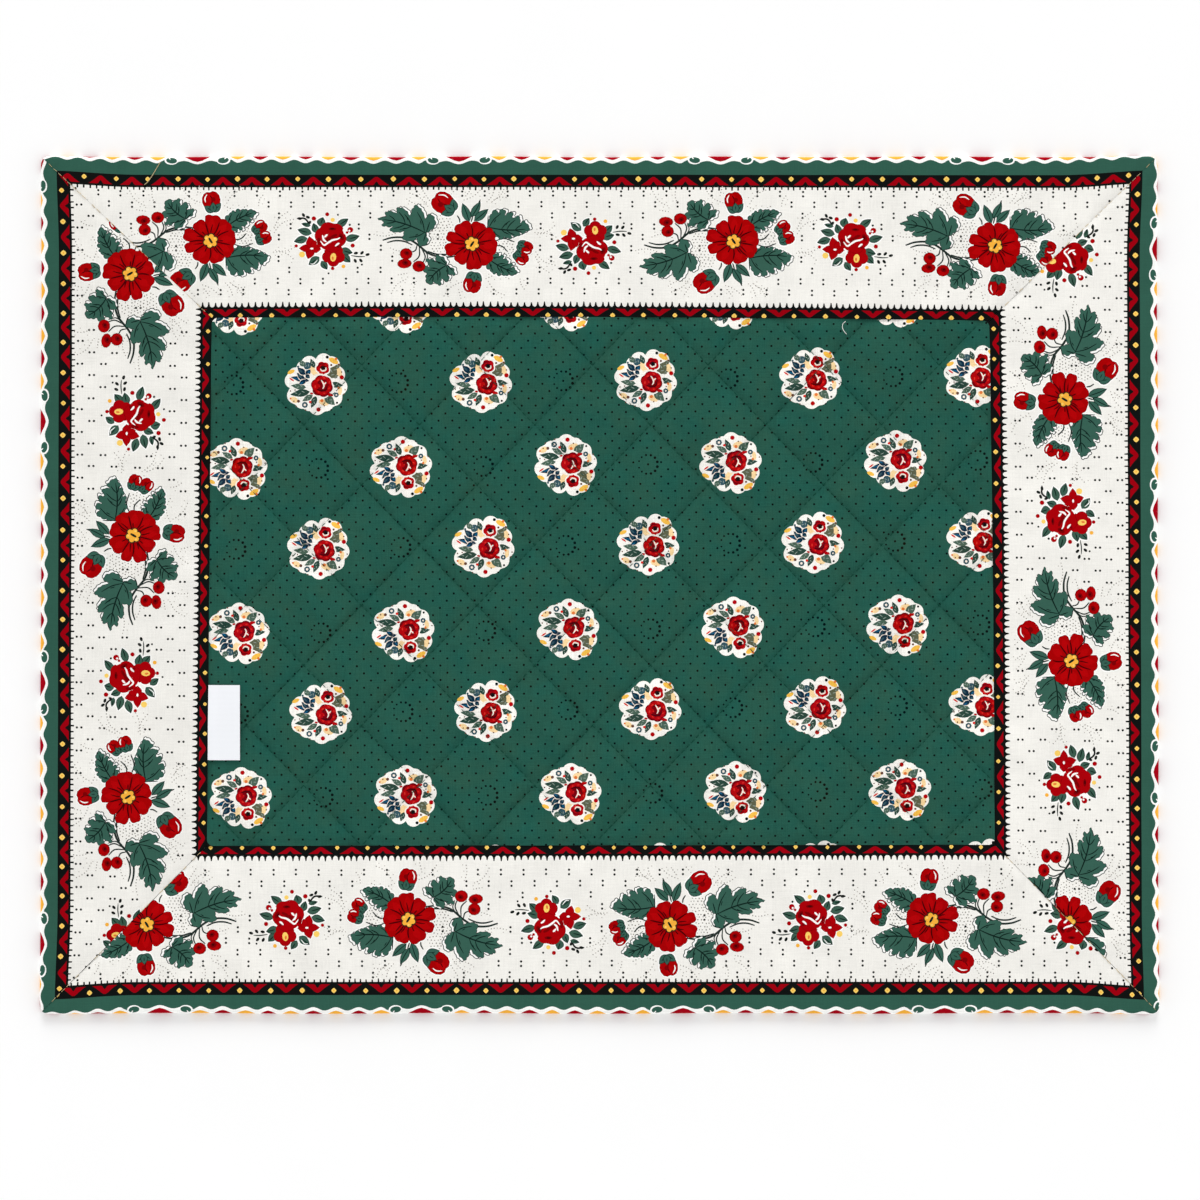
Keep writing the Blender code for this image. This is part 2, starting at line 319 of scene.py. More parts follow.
def centre_print():
    """Every inked shape of the panel, in the order in which the inks lie."""
    shapes, kept_clear = [], []
    for row in range(-4, 5):
        for column in range(-6, 7):
            at = REPEAT_START + column * REPEAT_ACROSS + row * REPEAT_UP
            at += ODD_ROW_SHIFT * (row % 2)
            if abs(at.real) > PRINT_REACH[0] or abs(at.imag) > PRINT_REACH[1]:
                continue
            if (row + column) % 2:
                kept_clear.append((at, RING_CLEAR))
                shapes += placed(dotted_ring(), at, PRINT_TURN)
            else:
                kept_clear.append((at, BOUQUET_CLEAR))
                shapes += placed(bouquet(), at, PRINT_TURN, flip=row % 2 == 1)
    dots = []
    for row in range(-40, 41):
        for column in range(-60, 61):
            if (row + column) % 2:
                continue
            at = lean(PRINT_TURN) * complex(
                column * PIN_DOT_PITCH[0] / 2, row * PIN_DOT_PITCH[1] / 2
            )
            if abs(at.real) < DOT_REACH[0] and abs(at.imag) < DOT_REACH[1]:
                if all(abs(at - spot) > clear for spot, clear in kept_clear):
                    dots.append(("black", patch(at, PIN_DOT_RADIUS, 6)))
    # The border turns in a little round the panel's corners.
    corners = list(SEAM_CORNERS.values())
    for before, corner, after in zip(corners[-1:] + corners, corners, corners[1:] + corners[:1]):
        ways = [(end - corner) / abs(end - corner) for end in (before, after)]
        centre = corner + CORNER_TUCK * (ways[0] + ways[1])
        arc = [centre - CORNER_TUCK * (ways[0] * math.cos(t) + ways[1] * math.sin(t))
               for t in (0.0, 0.3, 0.6, 0.97, 1.27, math.pi / 2)]
        shapes.append(("seam black", [corner] + arc))
    return dots + shapes


def seam_distance(x, y, corners):
    """Distance of each point from the nearest side of a four-sided outline, inside it."""
    nearest = np.full(np.shape(x), 1e9)
    points = list(corners.values())
    for start, end in zip(points, points[1:] + points[:1]):
        along = (end - start) / abs(end - start)
        inward = -1j * along
        across = (x - start.real) * inward.real + (y - start.imag) * inward.imag
        nearest = np.minimum(nearest, across)
    return nearest


def eased(share):
    """Nought up to nought, one from one on, and a soft slope between."""
    share = np.clip(share, 0.0, 1.0)
    return share * share * (3 - 2 * share)


def diamond_waves(x, y):
    """Two waves that are nought on the two sets of quilting lines and one midway."""
    across = (x - DIAMOND_CROSSING[0]) / DIAMOND_HALF[0]
    along = (y - DIAMOND_CROSSING[1]) / DIAMOND_HALF[1]
    rising = np.abs(np.sin(math.pi * (across + along) / 2))
    return rising, np.abs(np.sin(math.pi * (across - along) / 2))


def line_distance(x, y):
    """Distance from the nearest quilting line."""
    apart = DIAMOND_HALF[0] * DIAMOND_HALF[1] / math.hypot(*DIAMOND_HALF)
    return np.arcsin(np.minimum(*diamond_waves(x, y))) * apart / (math.pi / 2)


def quilted_height(x, y):
    """Height of the quilted cloth: puffs between the two sets of stitch lines."""
    rising, falling = diamond_waves(x, y)
    puff = (rising * falling) ** PUFF_FULLNESS
    uneven = 0.12 * np.sin(x / 17.0 + 1.3 * np.sin(y / 23.0)) * np.sin(y / 14.0 + 0.7)
    trough = np.clip(1 - line_distance(x, y) / TROUGH_REACH, 0, 1) ** 1.5
    trough *= 1 + 0.25 * np.sin(x / 5.3 + np.sin(y / 7.1)) * np.sin(y / 4.7)
    edge = SEAM_SINK * (1 - eased(seam_distance(x, y, SEAM_CORNERS) / SEAM_SINK_REACH))
    full = STITCHED_THICKNESS + TROUGH_DEPTH
    return full + (PUFF_RISE + uneven) * puff - TROUGH_DEPTH * trough - edge * (1 - 0.7 * trough)


def painted_trough_shade(flat):
    """Painted shade: the cloth's colour made darker along the quilting troughs, where shade falls."""
    apart = line_distance(flat[:, 0], flat[:, 1]) / TROUGH_REACH
    return 1 - PAINTED_TROUGH_SHADE * (1 - eased(apart))


def lay_panel(flat):
    """Points of the flat panel cloth, put where the quilted cloth lies."""
    return np.stack([flat[:, 0], flat[:, 1], quilted_height(flat[:, 0], flat[:, 1])], 1)


def turning(shape):
    """Above nought where the outline runs anticlockwise."""
    return sum((a.conjugate() * b).imag for a, b in zip(shape, shape[1:] + shape[:1]))


def cut_cloth(outline, shapes, extra):
    """Flat cloth cut along its outline and every inked edge.

    Gives its points, its triangles, the topmost shape on each triangle, and the points of the
    outline in order.
    """
    corners, faces = [], []
    for shape in [outline] + [shape for _, shape in shapes]:
        faces.append(list(range(len(corners), len(corners) + len(shape))))
        corners += [Vector((p.real, p.imag)) for p in shape[:: 1 if turning(shape) > 0 else -1]]
    corners += [Vector((p.real, p.imag)) for p in extra]
    points, _, triangles, origins, _, sources = delaunay_2d_cdt(corners, [], faces, 0, 1e-5, True)
    kept = [(t, max(s)) for t, s in zip(triangles, sources) if 0 in s]
    points = np.array([p[:] for p in points])
    triangles = np.array([t for t, _ in kept])
    a, b, c = (points[triangles[:, k]] for k in range(3))
    turned = (b - a)[:, 0] * (c - a)[:, 1] - (b - a)[:, 1] * (c - a)[:, 0] < 0
    triangles[turned] = triangles[turned][:, ::-1]
    used, fresh = np.unique(triangles, return_inverse=True)
    places = {old: new for new, old in enumerate(used.tolist())}
    around = {number: places[k] for k, ids in enumerate(origins) if k in places for number in ids}
    return points[used], fresh.reshape(-1, 3), np.array([top for _, top in kept]), around


def rim_loops(triangles):
    """The boundary of a triangle mesh, as loops of points that run with the faces."""
    edges = np.concatenate([triangles[:, [0, 1]], triangles[:, [1, 2]], triangles[:, [2, 0]]])
    known = set(map(tuple, edges.tolist()))
    onward = {a: b for a, b in known if (b, a) not in known}
    loops = []
    while onward:
        start, loop = next(iter(onward)), []
        while start in onward:
            loop.append(start)
            start = onward.pop(start)
        loops.append(loop)
    return loops


def slopes(lay, flat, step=0.05):
    """Directions square to the laid cloth at flat points, from how it lies close by."""
    east = lay(flat + [step, 0]) - lay(flat - [step, 0])
    north = lay(flat + [0, step]) - lay(flat - [0, step])
    normal = np.cross(east, north)
    return normal / np.maximum(np.linalg.norm(normal, axis=1, keepdims=True), 1e-12)


BACKING_PITCH = 7.0
BACKING_COLOUR = (233, 228, 214)
SEAM_COLOUR = (58, 56, 50)
ON_TABLE = 1e-4  # points of the cloth below this height rest on the table


def closed_cloth(name, flat, triangles, inks, lay, material, painted_shade=None):
    """The laid top cloth, closed underneath by its plain cotton backing, as one object."""
    places = lay(flat)
    normals = slopes(lay, flat)
    rim = rim_loops(triangles)[0]
    # Rim points past the widest place of a rolled edge have nothing of the backing under them.
    rolled = (normals[rim, 2] < 0.05) & (places[rim, 2] > ON_TABLE)
    posts = [k for k, hidden in zip(rim, rolled) if not hidden]
    outline = [complex(*places[k, :2]) for k in posts]
    box = places[posts].min(0), places[posts].max(0)
    spread = lattice(complex(*box[0][:2]), complex(*box[1][:2]), BACKING_PITCH)
    under, under_triangles, _, around = cut_cloth(outline, [], spread)
    numbers = np.arange(len(under)) + len(flat)
    met = [(around[order], post) for order, post in enumerate(posts) if order in around]
    for spot, post in met:
        if places[post, 2] < ON_TABLE:
            numbers[spot] = post
    beneath = {post: int(numbers[spot]) for spot, post in met}
    faces = triangles.tolist() + numbers[under_triangles[:, ::-1]].tolist()
    smooth = len(faces)
    backing = len(under_triangles)
    first = rim.index(met[0][1])
    run = []
    for post in rim[first:] + rim[: first + 1]:
        run.append(post)
        if len(run) > 1 and post in beneath:
            wall = run[::-1] + [beneath[run[0]], beneath[run[-1]]]
            wall = [k for n, k in enumerate(wall) if k not in wall[:n]]
            if len(wall) > 2:
                faces.append(wall)
            run = [post]
    places = np.vstack([places, np.column_stack([under, np.zeros(len(under))])])
    normals = np.vstack([normals, np.tile([0.0, 0.0, -1.0], (len(under), 1))])
    plain = np.tile(linear(BACKING_COLOUR), (backing, 1))
    walls = np.tile(linear(SEAM_COLOUR), (len(faces) - smooth, 1))

    mesh = bpy.data.meshes.new(name)
    mesh.from_pydata((places * MM).tolist(), [], faces)
    corners = np.empty(len(mesh.loops), np.int32)
    mesh.loops.foreach_get("vertex_index", corners)
    sizes = np.empty(len(mesh.polygons), np.int32)
    mesh.polygons.foreach_get("loop_total", sizes)
    tints = np.ones((len(corners), 4), np.float32)
    tints[:, :3] = np.repeat(np.vstack([inks, plain, walls]), sizes, axis=0)
    # Painted shade, where it is given: the colours are darkened point by point.
    if painted_shade is not None:
        shades = np.concatenate([painted_shade(flat), np.ones(len(under))])
        tints[:, :3] *= shades[corners][:, None]
    layer = mesh.color_attributes.new("ink", "FLOAT_COLOR", "CORNER")
    layer.data.foreach_set("color", tints.ravel())
    spots = np.zeros((len(places), 3), np.float32)
    spots[:, :2] = np.vstack([flat, under])
    thread_lines = mesh.attributes.new("lay", "FLOAT_VECTOR", "POINT")
    thread_lines.data.foreach_set("vector", spots.ravel())
    is_smooth = np.arange(len(faces)) < smooth
    mesh.polygons.foreach_set("use_smooth", is_smooth)
    turned = normals[corners] * np.repeat(is_smooth, sizes)[:, None]
    mesh.normals_split_custom_set(turned.tolist())
    mesh.materials.append(material)
    piece = bpy.data.objects.new(name, mesh)
    bpy.context.scene.collection.objects.link(piece)
    return piece


def matt_material(name, roughness, gloss):
    """A new material with that roughness and shine: the material, its node tree and its shader."""
    material = bpy.data.materials.new(name)
    material.use_nodes = True
    shader = material.node_tree.nodes["Principled BSDF"]
    shader.inputs["Roughness"].default_value = roughness
    shader.inputs["Specular IOR Level"].default_value = gloss
    return material, material.node_tree, shader


def new_node(tree, kind, inputs=(), **settings):
    """A node with these settings. Its inputs get numbers, or links from other nodes' outputs."""
    made = tree.nodes.new(kind)
    for key, value in settings.items():
        setattr(made, key, value)
    for socket, value in dict(inputs).items():
        if isinstance(value, bpy.types.NodeSocket):
            tree.links.new(value, made.inputs[socket])
        else:
            made.inputs[socket].default_value = value
    return made


def maths(tree, operation, *values):
    """The output of a maths node that works on these numbers and outputs."""
    return new_node(tree, "ShaderNodeMath", enumerate(values), operation=operation).outputs[0]


def relieved(tree, shader, height, strength, depth):
    """Fine relief on the material, as high as that output says."""
    inputs = {"Strength": strength, "Distance": depth, "Height": height}
    relief = new_node(tree, "ShaderNodeBump", inputs)
    tree.links.new(relief.outputs[0], shader.inputs["Normal"])


COTTON_THREAD = 0.36
COTTON_ROUGHNESS = 0.88
COTTON_GLOSS = 0.025
COTTON_RELIEF = (0.35, 0.00006)


def cotton(name, blotch, fleck, warmth):
    """Printed plain-woven cotton: the ink, uneven take-up, flecks of thread and the weave."""
    material, tree, shader = matt_material(name, COTTON_ROUGHNESS, COTTON_GLOSS)
    ink = new_node(tree, "ShaderNodeAttribute", attribute_name="ink")
    lay = new_node(tree, "ShaderNodeAttribute", attribute_name="lay")
    split = new_node(tree, "ShaderNodeSeparateXYZ", {0: lay.outputs["Vector"]})

    def threads_along(axis):
        phase = maths(tree, "MULTIPLY", split.outputs[axis], math.pi / COTTON_THREAD)
        return maths(tree, "SINE", phase)

    weave = maths(tree, "MULTIPLY", threads_along("X"), threads_along("Y"))

    def noise(scale, detail, stretch=(1, 1, 1)):
        spread = {"Scale": stretch, "Vector": lay.outputs["Vector"]}
        bend = new_node(tree, "ShaderNodeMapping", spread)
        grid = {"Scale": scale, "Detail": detail, "Vector": bend.outputs[0]}
        made = new_node(tree, "ShaderNodeTexNoise", grid)
        return maths(tree, "SUBTRACT", made.outputs["Fac"], 0.5)

    def mixed(start, *parts):
        for part, share in parts:
            scaled = maths(tree, "MULTIPLY", part, share)
            start = scaled if start is None else maths(tree, "ADD", start, scaled)
        return start

    cloud = noise(0.06, 3.0)
    grain = noise(1.6, 2.0)
    threads = maths(tree, "ADD", noise(1.0, 1.0, (0.12, 2.4, 1)), noise(1.0, 1.0, (2.4, 0.12, 1)))
    shares = (cloud, blotch * 2), (grain, fleck), (threads, fleck * 1.2), (weave, fleck * 0.35)
    tone = maths(tree, "ADD", mixed(None, *shares), 1.0)
    hue = noise(0.08, 3.0)
    shift = {axis: maths(tree, "MULTIPLY", hue, share * warmth)
             for axis, share in (("X", 1.0), ("Y", 0.0), ("Z", -0.6))}
    faded = new_node(tree, "ShaderNodeCombineXYZ", shift)
    both = {0: ink.outputs["Color"], 1: faded.outputs[0]}
    washed = new_node(tree, "ShaderNodeVectorMath", both, operation="ADD")
    both = {0: washed.outputs[0], "Scale": tone}
    tinted = new_node(tree, "ShaderNodeVectorMath", both, operation="SCALE")
    tree.links.new(tinted.outputs[0], shader.inputs["Base Color"])
    relieved(tree, shader, mixed(None, (weave, 0.5), (threads, 1.6), (grain, 0.8)), *COTTON_RELIEF)
    return material


def lattice(low, high, pitch):
    """Staggered points that let the cloth bend between its printed edges."""
    points = []
    rows = int((high.imag - low.imag) / pitch)
    columns = int((high.real - low.real) / pitch)
    for row in range(rows + 1):
        for column in range(columns + 1):
            shift = 0.5 * (row % 2)
            points.append(low + pitch * complex(column + shift, row))
    return points


PANEL_RIM_PITCH = 3.0
PANEL_LATTICE = (-170 - 116j, 172 + 117j, 3.0)


def panel_outline():
    """The panel's cut edge, just inside its seams, with points along it."""
    corners = list(SEAM_CORNERS.values())
    middle = sum(corners) / 4
    inset = [c - (c - middle) / abs(c - middle) * SEAM_SLIT * 1.4 for c in corners]
    outline = []
    for start, end, bow in zip(inset, inset[1:] + inset[:1], SEAM_BOWS):
        count = round(abs(end - start) / PANEL_RIM_PITCH)
        out = 1j * (end - start) / abs(end - start) * bow
        outline += [
            start + (end - start) * k / count + out * math.sin(math.pi * k / count)
            for k in range(count)
        ]
    return outline


def inside(points, corners, margin):
    """Those of the points that lie inside a four-sided outline, clear of its sides."""
    x, y = np.real(points), np.imag(points)
    return [p for p, apart in zip(points, seam_distance(x, y, corners)) if apart > margin]


QUILT_ROWS = (0.0, 0.5, 1.1, 1.9, 3.0)
QUILT_ROW_PITCH = 2.6
QUILT_ROWS_CLEAR = 3.8
QUILT_REACH = (176, 121)


def quilt_lines():
    """One point and the direction of each line of the quilting, both ways."""
    for tilt in (1, -1):
        way = complex(DIAMOND_HALF[0], -tilt * DIAMOND_HALF[1])
        for line in range(-8, 9):
            yield complex(*DIAMOND_CROSSING) + 2 * line * DIAMOND_HALF[0], way / abs(way)


def trough_points():
    """Rows of points on and beside each quilting line, so that the trough is crisp."""
    rows = [side * row for row in QUILT_ROWS for side in (1, -1)][1:]
    points = []
    for origin, way in quilt_lines():
        for k in range(-110, 111):
            spot = origin + way * k * QUILT_ROW_PITCH
            if abs(spot.real) < QUILT_REACH[0] and abs(spot.imag) < QUILT_REACH[1]:
                points += [spot + 1j * way * row for row in rows]
    return points


panel_shapes = centre_print()
panel_grid = np.array(lattice(*PANEL_LATTICE))
panel_grid = panel_grid[line_distance(panel_grid.real, panel_grid.imag) > QUILT_ROWS_CLEAR]
panel_grid = inside(panel_grid.tolist() + trough_points(), SEAM_CORNERS, 0.5)
flat, triangles, tops, _ = cut_cloth(panel_outline(), panel_shapes, panel_grid)
shades = [linear(INKS["bottle green"])] + [linear(INKS[ink]) for ink, _ in panel_shapes]
centre_cotton = cotton("centre_cotton", blotch=0.16, fleck=0.30, warmth=0.022)
panel = closed_cloth(
    "quilted_centre", flat, triangles, np.array(shades)[tops], lay_panel, centre_cotton, painted_trough_shade
)
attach(panel, "root")
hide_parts("centre_panel")

# ---------------------------------------------------------------------------------------------
# Quilting: a lockstitch in dark green thread along every diamond line. Each stitch is a short
# arc of thread that rises from the trough, lies along it and dives back into the cloth.

QUILT_THREAD = 0.26
QUILT_STITCH = 2.1
QUILT_PITCH = 3.0
QUILT_COLOUR = (15, 76, 59)
# How far the stitches stray along and across their line, and how their length varies.
QUILT_STRAY = (0.15, 0.07)
QUILT_SPREAD = (0.88, 1.05)
QUILT_EDGE_CLEAR = 0.8
# Share of the stitch's length, rise in thicknesses of thread, and how full the thread is there.
THREAD_ARC = (
    (0.0, -0.30, 0.6), (0.14, 0.02, 1.0), (0.5, 0.12, 1.05), (0.86, 0.02, 1.0), (1.0, -0.30, 0.6),
)
THREAD_SINK = 0.05


def quilt_stitches():
    """Both ends of every stitch, on the flat cloth."""
    drift = random.Random(7)
    ends = []
    for origin, way in quilt_lines():
        for k in range(-80, 81):
            middle = origin + way * (k * QUILT_PITCH + drift.uniform(-QUILT_STRAY[0], QUILT_STRAY[0]))
            middle += 1j * way * drift.uniform(-QUILT_STRAY[1], QUILT_STRAY[1])
            half = way * QUILT_STITCH / 2 * drift.uniform(*QUILT_SPREAD)
            tips = np.array([middle - half, middle + half])
            if seam_distance(tips.real, tips.imag, SEAM_CORNERS).min() > QUILT_EDGE_CLEAR:
                ends.append((middle - half, middle + half))
    return ends


def thread_stitches(ends, lay, thickness, sides=5):
    """Thread arcs laid on the cloth: points and faces of all the stitches together."""
    ends = np.array(ends)
    count, rings = len(ends), len(THREAD_ARC)
    points = np.empty((count, rings, sides, 3))
    for ring, (share, rise, swell) in enumerate(THREAD_ARC):
        middle = ends[:, 0] + (ends[:, 1] - ends[:, 0]) * share
        under = lay(np.column_stack([middle.real, middle.imag]))
        under[:, 2] += thickness * (0.5 + rise) - THREAD_SINK
        ahead = lay(np.column_stack([ends[:, 1].real, ends[:, 1].imag]))
        ahead -= lay(np.column_stack([ends[:, 0].real, ends[:, 0].imag]))
        across = np.column_stack([-ahead[:, 1], ahead[:, 0]])
        across /= np.linalg.norm(across, axis=1, keepdims=True)
        for side in range(sides):
            angle = 2 * math.pi * side / sides
            reach = thickness / 2 * swell
            points[:, ring, side, :2] = under[:, :2] + across * math.cos(angle) * reach
            points[:, ring, side, 2] = under[:, 2] + math.sin(angle) * reach
    faces = []
    for stitch in range(count):
        base = stitch * rings * sides
        for ring in range(rings - 1):
            for side in range(sides):
                a = base + ring * sides + side
                b = base + ring * sides + (side + 1) % sides
                faces.append((a, a + sides, b + sides, b))
        faces.append(tuple(base + side for side in range(sides)))
        last = base + (rings - 1) * sides
        faces.append(tuple(last + side for side in reversed(range(sides))))
    return points.reshape(-1, 3), faces


def ridged(name, colour, painted_groove_shade, bands, pitch, waver, roughness, gloss, relief):
    """One colour with fine ridges: painted shade makes the grooves between them darker by that
    factor.
    """
    material, tree, shader = matt_material(name, roughness, gloss)
    place = new_node(tree, "ShaderNodeTexCoord")
    wave = {"Scale": 0.3 / (pitch * MM), "Distortion": waver, "Vector": place.outputs["Object"]}
    ridges = new_node(tree, "ShaderNodeTexWave", wave, bands_direction=bands)
    shares = {"A": painted_groove_shade, "B": 1}
    tones = {key: (*[c * share for c in linear(colour)], 1) for key, share in shares.items()}
    tones["Factor"] = ridges.outputs["Fac"]
    tint = new_node(tree, "ShaderNodeMix", tones, data_type="RGBA")
    tree.links.new(tint.outputs["Result"], shader.inputs["Base Color"])
    relieved(tree, shader, ridges.outputs["Fac"], *relief)
    return material


def spun_thread(name, colour, gloss=0.3):
    """Twisted sewing thread."""
    # The grooves of the twist get painted shade: 0.7 of the thread's colour.
    return ridged(name, colour, 0.7, "DIAGONAL", 0.25, 0.6, 0.6, gloss, (0.4, 0.00004))


def make_thread(name, points, faces, material):
    """A piece of sewing thread that rides on the mat."""
    mesh = bpy.data.meshes.new(name)
    mesh.from_pydata((points * MM).tolist(), [], faces)
    mesh.polygons.foreach_set("use_smooth", [True] * len(mesh.polygons))
    mesh.materials.append(material)
    piece = bpy.data.objects.new(name, mesh)
    bpy.context.scene.collection.objects.link(piece)
    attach(piece, "root")
    return piece


points, faces = thread_stitches(quilt_stitches(), lay_panel, QUILT_THREAD)
quilt_thread = spun_thread("quilt_thread", QUILT_COLOUR, 0.04)
quilting = make_thread("quilting_stitches", points, faces, quilt_thread)

# ---------------------------------------------------------------------------------------------
# Border: four strips of off-white cotton over wadding, mitred at the corners and sewn to the
# panel. The print runs clockwise: a scalloped rim, a green band, two black bands with red
# chevrons, and flower sprays with small posies between them.

OUTER_CORNERS = {
    "top_left": -239.9 + 184.1j,
    "top_right": 239.6 + 184.1j,
    "bottom_right": 240.4 - 184.1j,
    "bottom_left": -240.4 - 184.1j,
}
STRIP_WIDTH = 71.0
STRIP_THICKNESS = 3.0
FOLD_RADIUS = STRIP_THICKNESS / 2
CORNER_ROUNDING = 3.5
EDGE_WANDER = 0.35
MITRE_SLIT = 0.07
# Long waves and short ripples of the padded strip, and puckers toward the seam.
TOP_WAVE, TOP_WAVE_LENGTH = 0.18, 74
RIPPLE, PUCKER, PUCKER_START = 0.12, 0.10, 50
# How deep the strip sinks, and over how much cloth, at its mitres and at its seam.
MITRE_SINK, MITRE_SINK_REACH = 0.45, 3.5
HEM_SINK, HEM_SINK_REACH = 0.75, 7

# Name, start and end corner, direction in which the print runs, and waves of the rim. Then the
# print: how far it strays outward at the two ends, the place of one flower whose spray leads
# the run, how far after it a large lozenge of the rim and the gold lozenges of the two black
# bands lie, where the outer band starts and ends, where the inner band starts, how deep its
# chevrons are, where its gold lozenges lie and how big they are, and how bright the strip is:
# painted light and shade that brightens the right and top strips and darkens the left and
# bottom ones, as the light falls.
STRIPS = (
    ("border_top", "top_left", "top_right", 1, 5.0,
     {"stray": (2.0, 2.2), "flower_at": -166.9, "rim_after": -5.6, "gold_after": (11.7, 0.3),
      "outer_band": (8.3, 13.8), "inner_band": (66.5, 0.82, 70.2, 1.1), "tone": 1.01}),
    ("border_right", "top_right", "bottom_right", -1j, 3.0,
     {"stray": (1.4, 1.0), "flower_at": 32.6, "rim_after": 47.6, "gold_after": (10.2, 2.8),
      "outer_band": (7.75, 13.15), "inner_band": (66.3, 0.73, 69.3, 0.98), "tone": 1.015}),
    ("border_bottom", "bottom_right", "bottom_left", -1, 4.0,
     {"stray": (2.2, 2.0), "flower_at": -30.2, "rim_after": -5.6, "gold_after": (12.4, 11.6),
      "outer_band": (8.1, 13.65), "inner_band": (66.75, 0.75, 70.2, 0.9), "tone": 0.99}),
    ("border_left", "bottom_left", "top_left", 1j, 3.0,
     {"stray": (1.2, 1.2), "flower_at": -90.9, "rim_after": 48.9, "gold_after": (9.8, 1.2),
      "outer_band": (7.75, 13.25), "inner_band": (66.6, 0.71, 69.7, 0.9), "tone": 0.97}),
)
STRAY_REACH = 43.0

BORDER_INKS = {
    "ground": (240, 238, 232),
    "white": (250, 250, 247),
    "band green": (49, 91, 77),
    "band black": (15, 18, 17),
    "chevron red": (154, 0, 15),
    "rim red": (160, 4, 22),
    "gold": (244, 176, 62),
    "pale gold": (250, 208, 104),
    "flower red": (163, 0, 3),
    "petal light": (175, 2, 6),
    "fold red": (122, 0, 4),
    "fold line": (72, 0, 4),
    "rose red": (166, 0, 7),
    "leaf green": (54, 94, 81),
    "leaf line": (14, 34, 29),
    "posy leaf": (58, 90, 76),
    "stem line": (34, 46, 42),
    "speckle": (128, 124, 116),
    "faint speckle": (176, 170, 162),
    "dot": (22, 26, 24),
}
INKS.update(BORDER_INKS)

# Level and swing of the scalloped line along the rim.
RIM_WAVE = (2.35, 0.75)
# Places of the rim's ornaments either way from a large lozenge, and how many the repeat has.
RIM_PLACES = (0.0, 11.1, 17.2, 26.9, 36.7, 46.4, 56.1)
CHEVRON_PITCH = 13.2
# Pitch, width and depth of the teeth beside each black band.
OUTER_TEETH = (2.6, 0.76, 1.2)
INNER_TEETH = (2.8, 0.66, 2.0)
DOT_PAIR_PITCH = (9.757, 4.81)
DOT_PAIR_START = (0.5, 16.6)
DOT_PAIR_GAP = 1.9
DOT_PAIR_RADIUS = 0.54
DOT_PAIR_CLEAR = 2.3
FLOWER_PITCH = 112.2
FLOWER_LINE = 39.0
POSY_AFTER = 52.0


def grown(shape, by):
    """The outline moved outward by that much all round."""
    side = -1j if turning(shape) > 0 else 1j
    ends = zip(shape[-1:] + shape[:-1], shape, shape[1:] + shape[:1])
    return [p + side * (b - a) / max(abs(b - a), 1e-6) * by for a, p, b in ends]


# Half outlines of the leaves: place along the midrib and height beside it, from base to tip.
VINE_LEAF = (
    (0.07, 0.0), (-0.03, 0.24), (-0.06, 0.62), (0.06, 0.96), (0.15, 0.82), (0.20, 0.60),
    (0.27, 0.88), (0.40, 1.12), (0.47, 0.90), (0.50, 0.60), (0.59, 0.76), (0.73, 0.86),
    (0.77, 0.60), (0.78, 0.36), (0.88, 0.34), (1.0, 0.0),
)
LONG_LEAF = (
    (0.04, 0.0), (-0.05, 0.24), (-0.10, 0.60), (0.0, 1.0), (0.09, 0.92), (0.12, 0.64),
    (0.23, 0.98), (0.38, 1.12), (0.42, 0.80), (0.42, 0.48), (0.54, 0.70), (0.70, 0.76),
    (0.69, 0.42), (0.78, 0.48), (0.90, 0.42), (0.87, 0.16), (1.0, 0.0),
)
TOOTHED_LEAF = (
    (0.0, 0.05), (0.02, 0.46), (0.09, 0.82), (0.18, 0.98), (0.22, 0.80), (0.30, 1.02),
    (0.39, 1.02), (0.41, 0.76), (0.50, 0.92), (0.58, 0.86), (0.59, 0.58), (0.69, 0.72),
    (0.77, 0.58), (0.76, 0.34), (0.86, 0.42), (0.94, 0.24), (1.0, 0.0),
)
# From the midrib, to a place along the leaf, and how far out the side vein ends.
VEINS = (
    (0.02, 0.02, 0.62), (0.05, 0.32, 0.84), (0.34, 0.54, 0.50), (0.46, 0.66, 0.54),
    (0.66, 0.82, 0.26),
)
NOTCHES = ((0.21, 0.50, 0.30), (0.49, 0.44, 0.24))
TOOTH = 2.6
TOOTH_DEPTH = 0.6


def toothed(edge):
    """A leaf's edge with small rounded teeth all along it."""
    side = -1j if turning(edge) > 0 else 1j
    teeth, run = [], 0.0
    for before, point, after in zip(edge[-1:] + edge[:-1], edge, edge[1:] + edge[:1]):
        outward = side * (after - before) / max(abs(after - before), 1e-6)
        teeth.append(point + outward * TOOTH_DEPTH * (abs(math.sin(math.pi * run / TOOTH)) - 0.55))
        run += abs(after - point)
    return teeth


def lobed_leaf(kind, base, tip, spread, near=1.0, far=0.9):
    """A lobed leaf: its dark edge line, its green, the midrib, side veins and notch lines."""
    axis = tip - base
    side = 1j * axis / abs(axis) * spread / 2
    bow = side * 0.16

    def spot(u, h):
        reach = near if h > 0 else far
        return base + axis * u + side * h * reach + bow * math.sin(math.pi * max(0.0, min(u, 1)))

    outline = [spot(u, h) for u, h in kind] + [spot(u * 0.96 + 0.03, -h) for u, h in kind[-2:0:-1]]
    edge = toothed(smooth_path(outline + outline[:1], 4)[:-1])
    slipped = [p + PEN_SLIP for p in edge]
    shapes = [("stem line", grown(slipped, 0.2)), ("white", grown(slipped, -0.16))]
    shapes += [("leaf line", grown(edge, 0.2)), ("leaf green", edge)]
    shapes.append(("leaf line", pen([spot(0.0, 0), spot(0.3, 0), spot(0.6, 0), spot(0.9, 0)], 0.6)))
    for way in (1, -1):
        for root, end, reach in VEINS:
            middle = spot(root * 0.6 + end * 0.4, way * reach * 0.55)
            stroke = [spot(root, 0), middle, spot(end, way * reach)]
            shapes.append(("leaf line", pen(stroke, 0.46)))
        for place, outer, inner in NOTCHES:
            stroke = [spot(place, way * outer), spot(place - 0.05, way * inner)]
            shapes.append(("leaf line", pen(stroke, 0.4)))
    return shapes


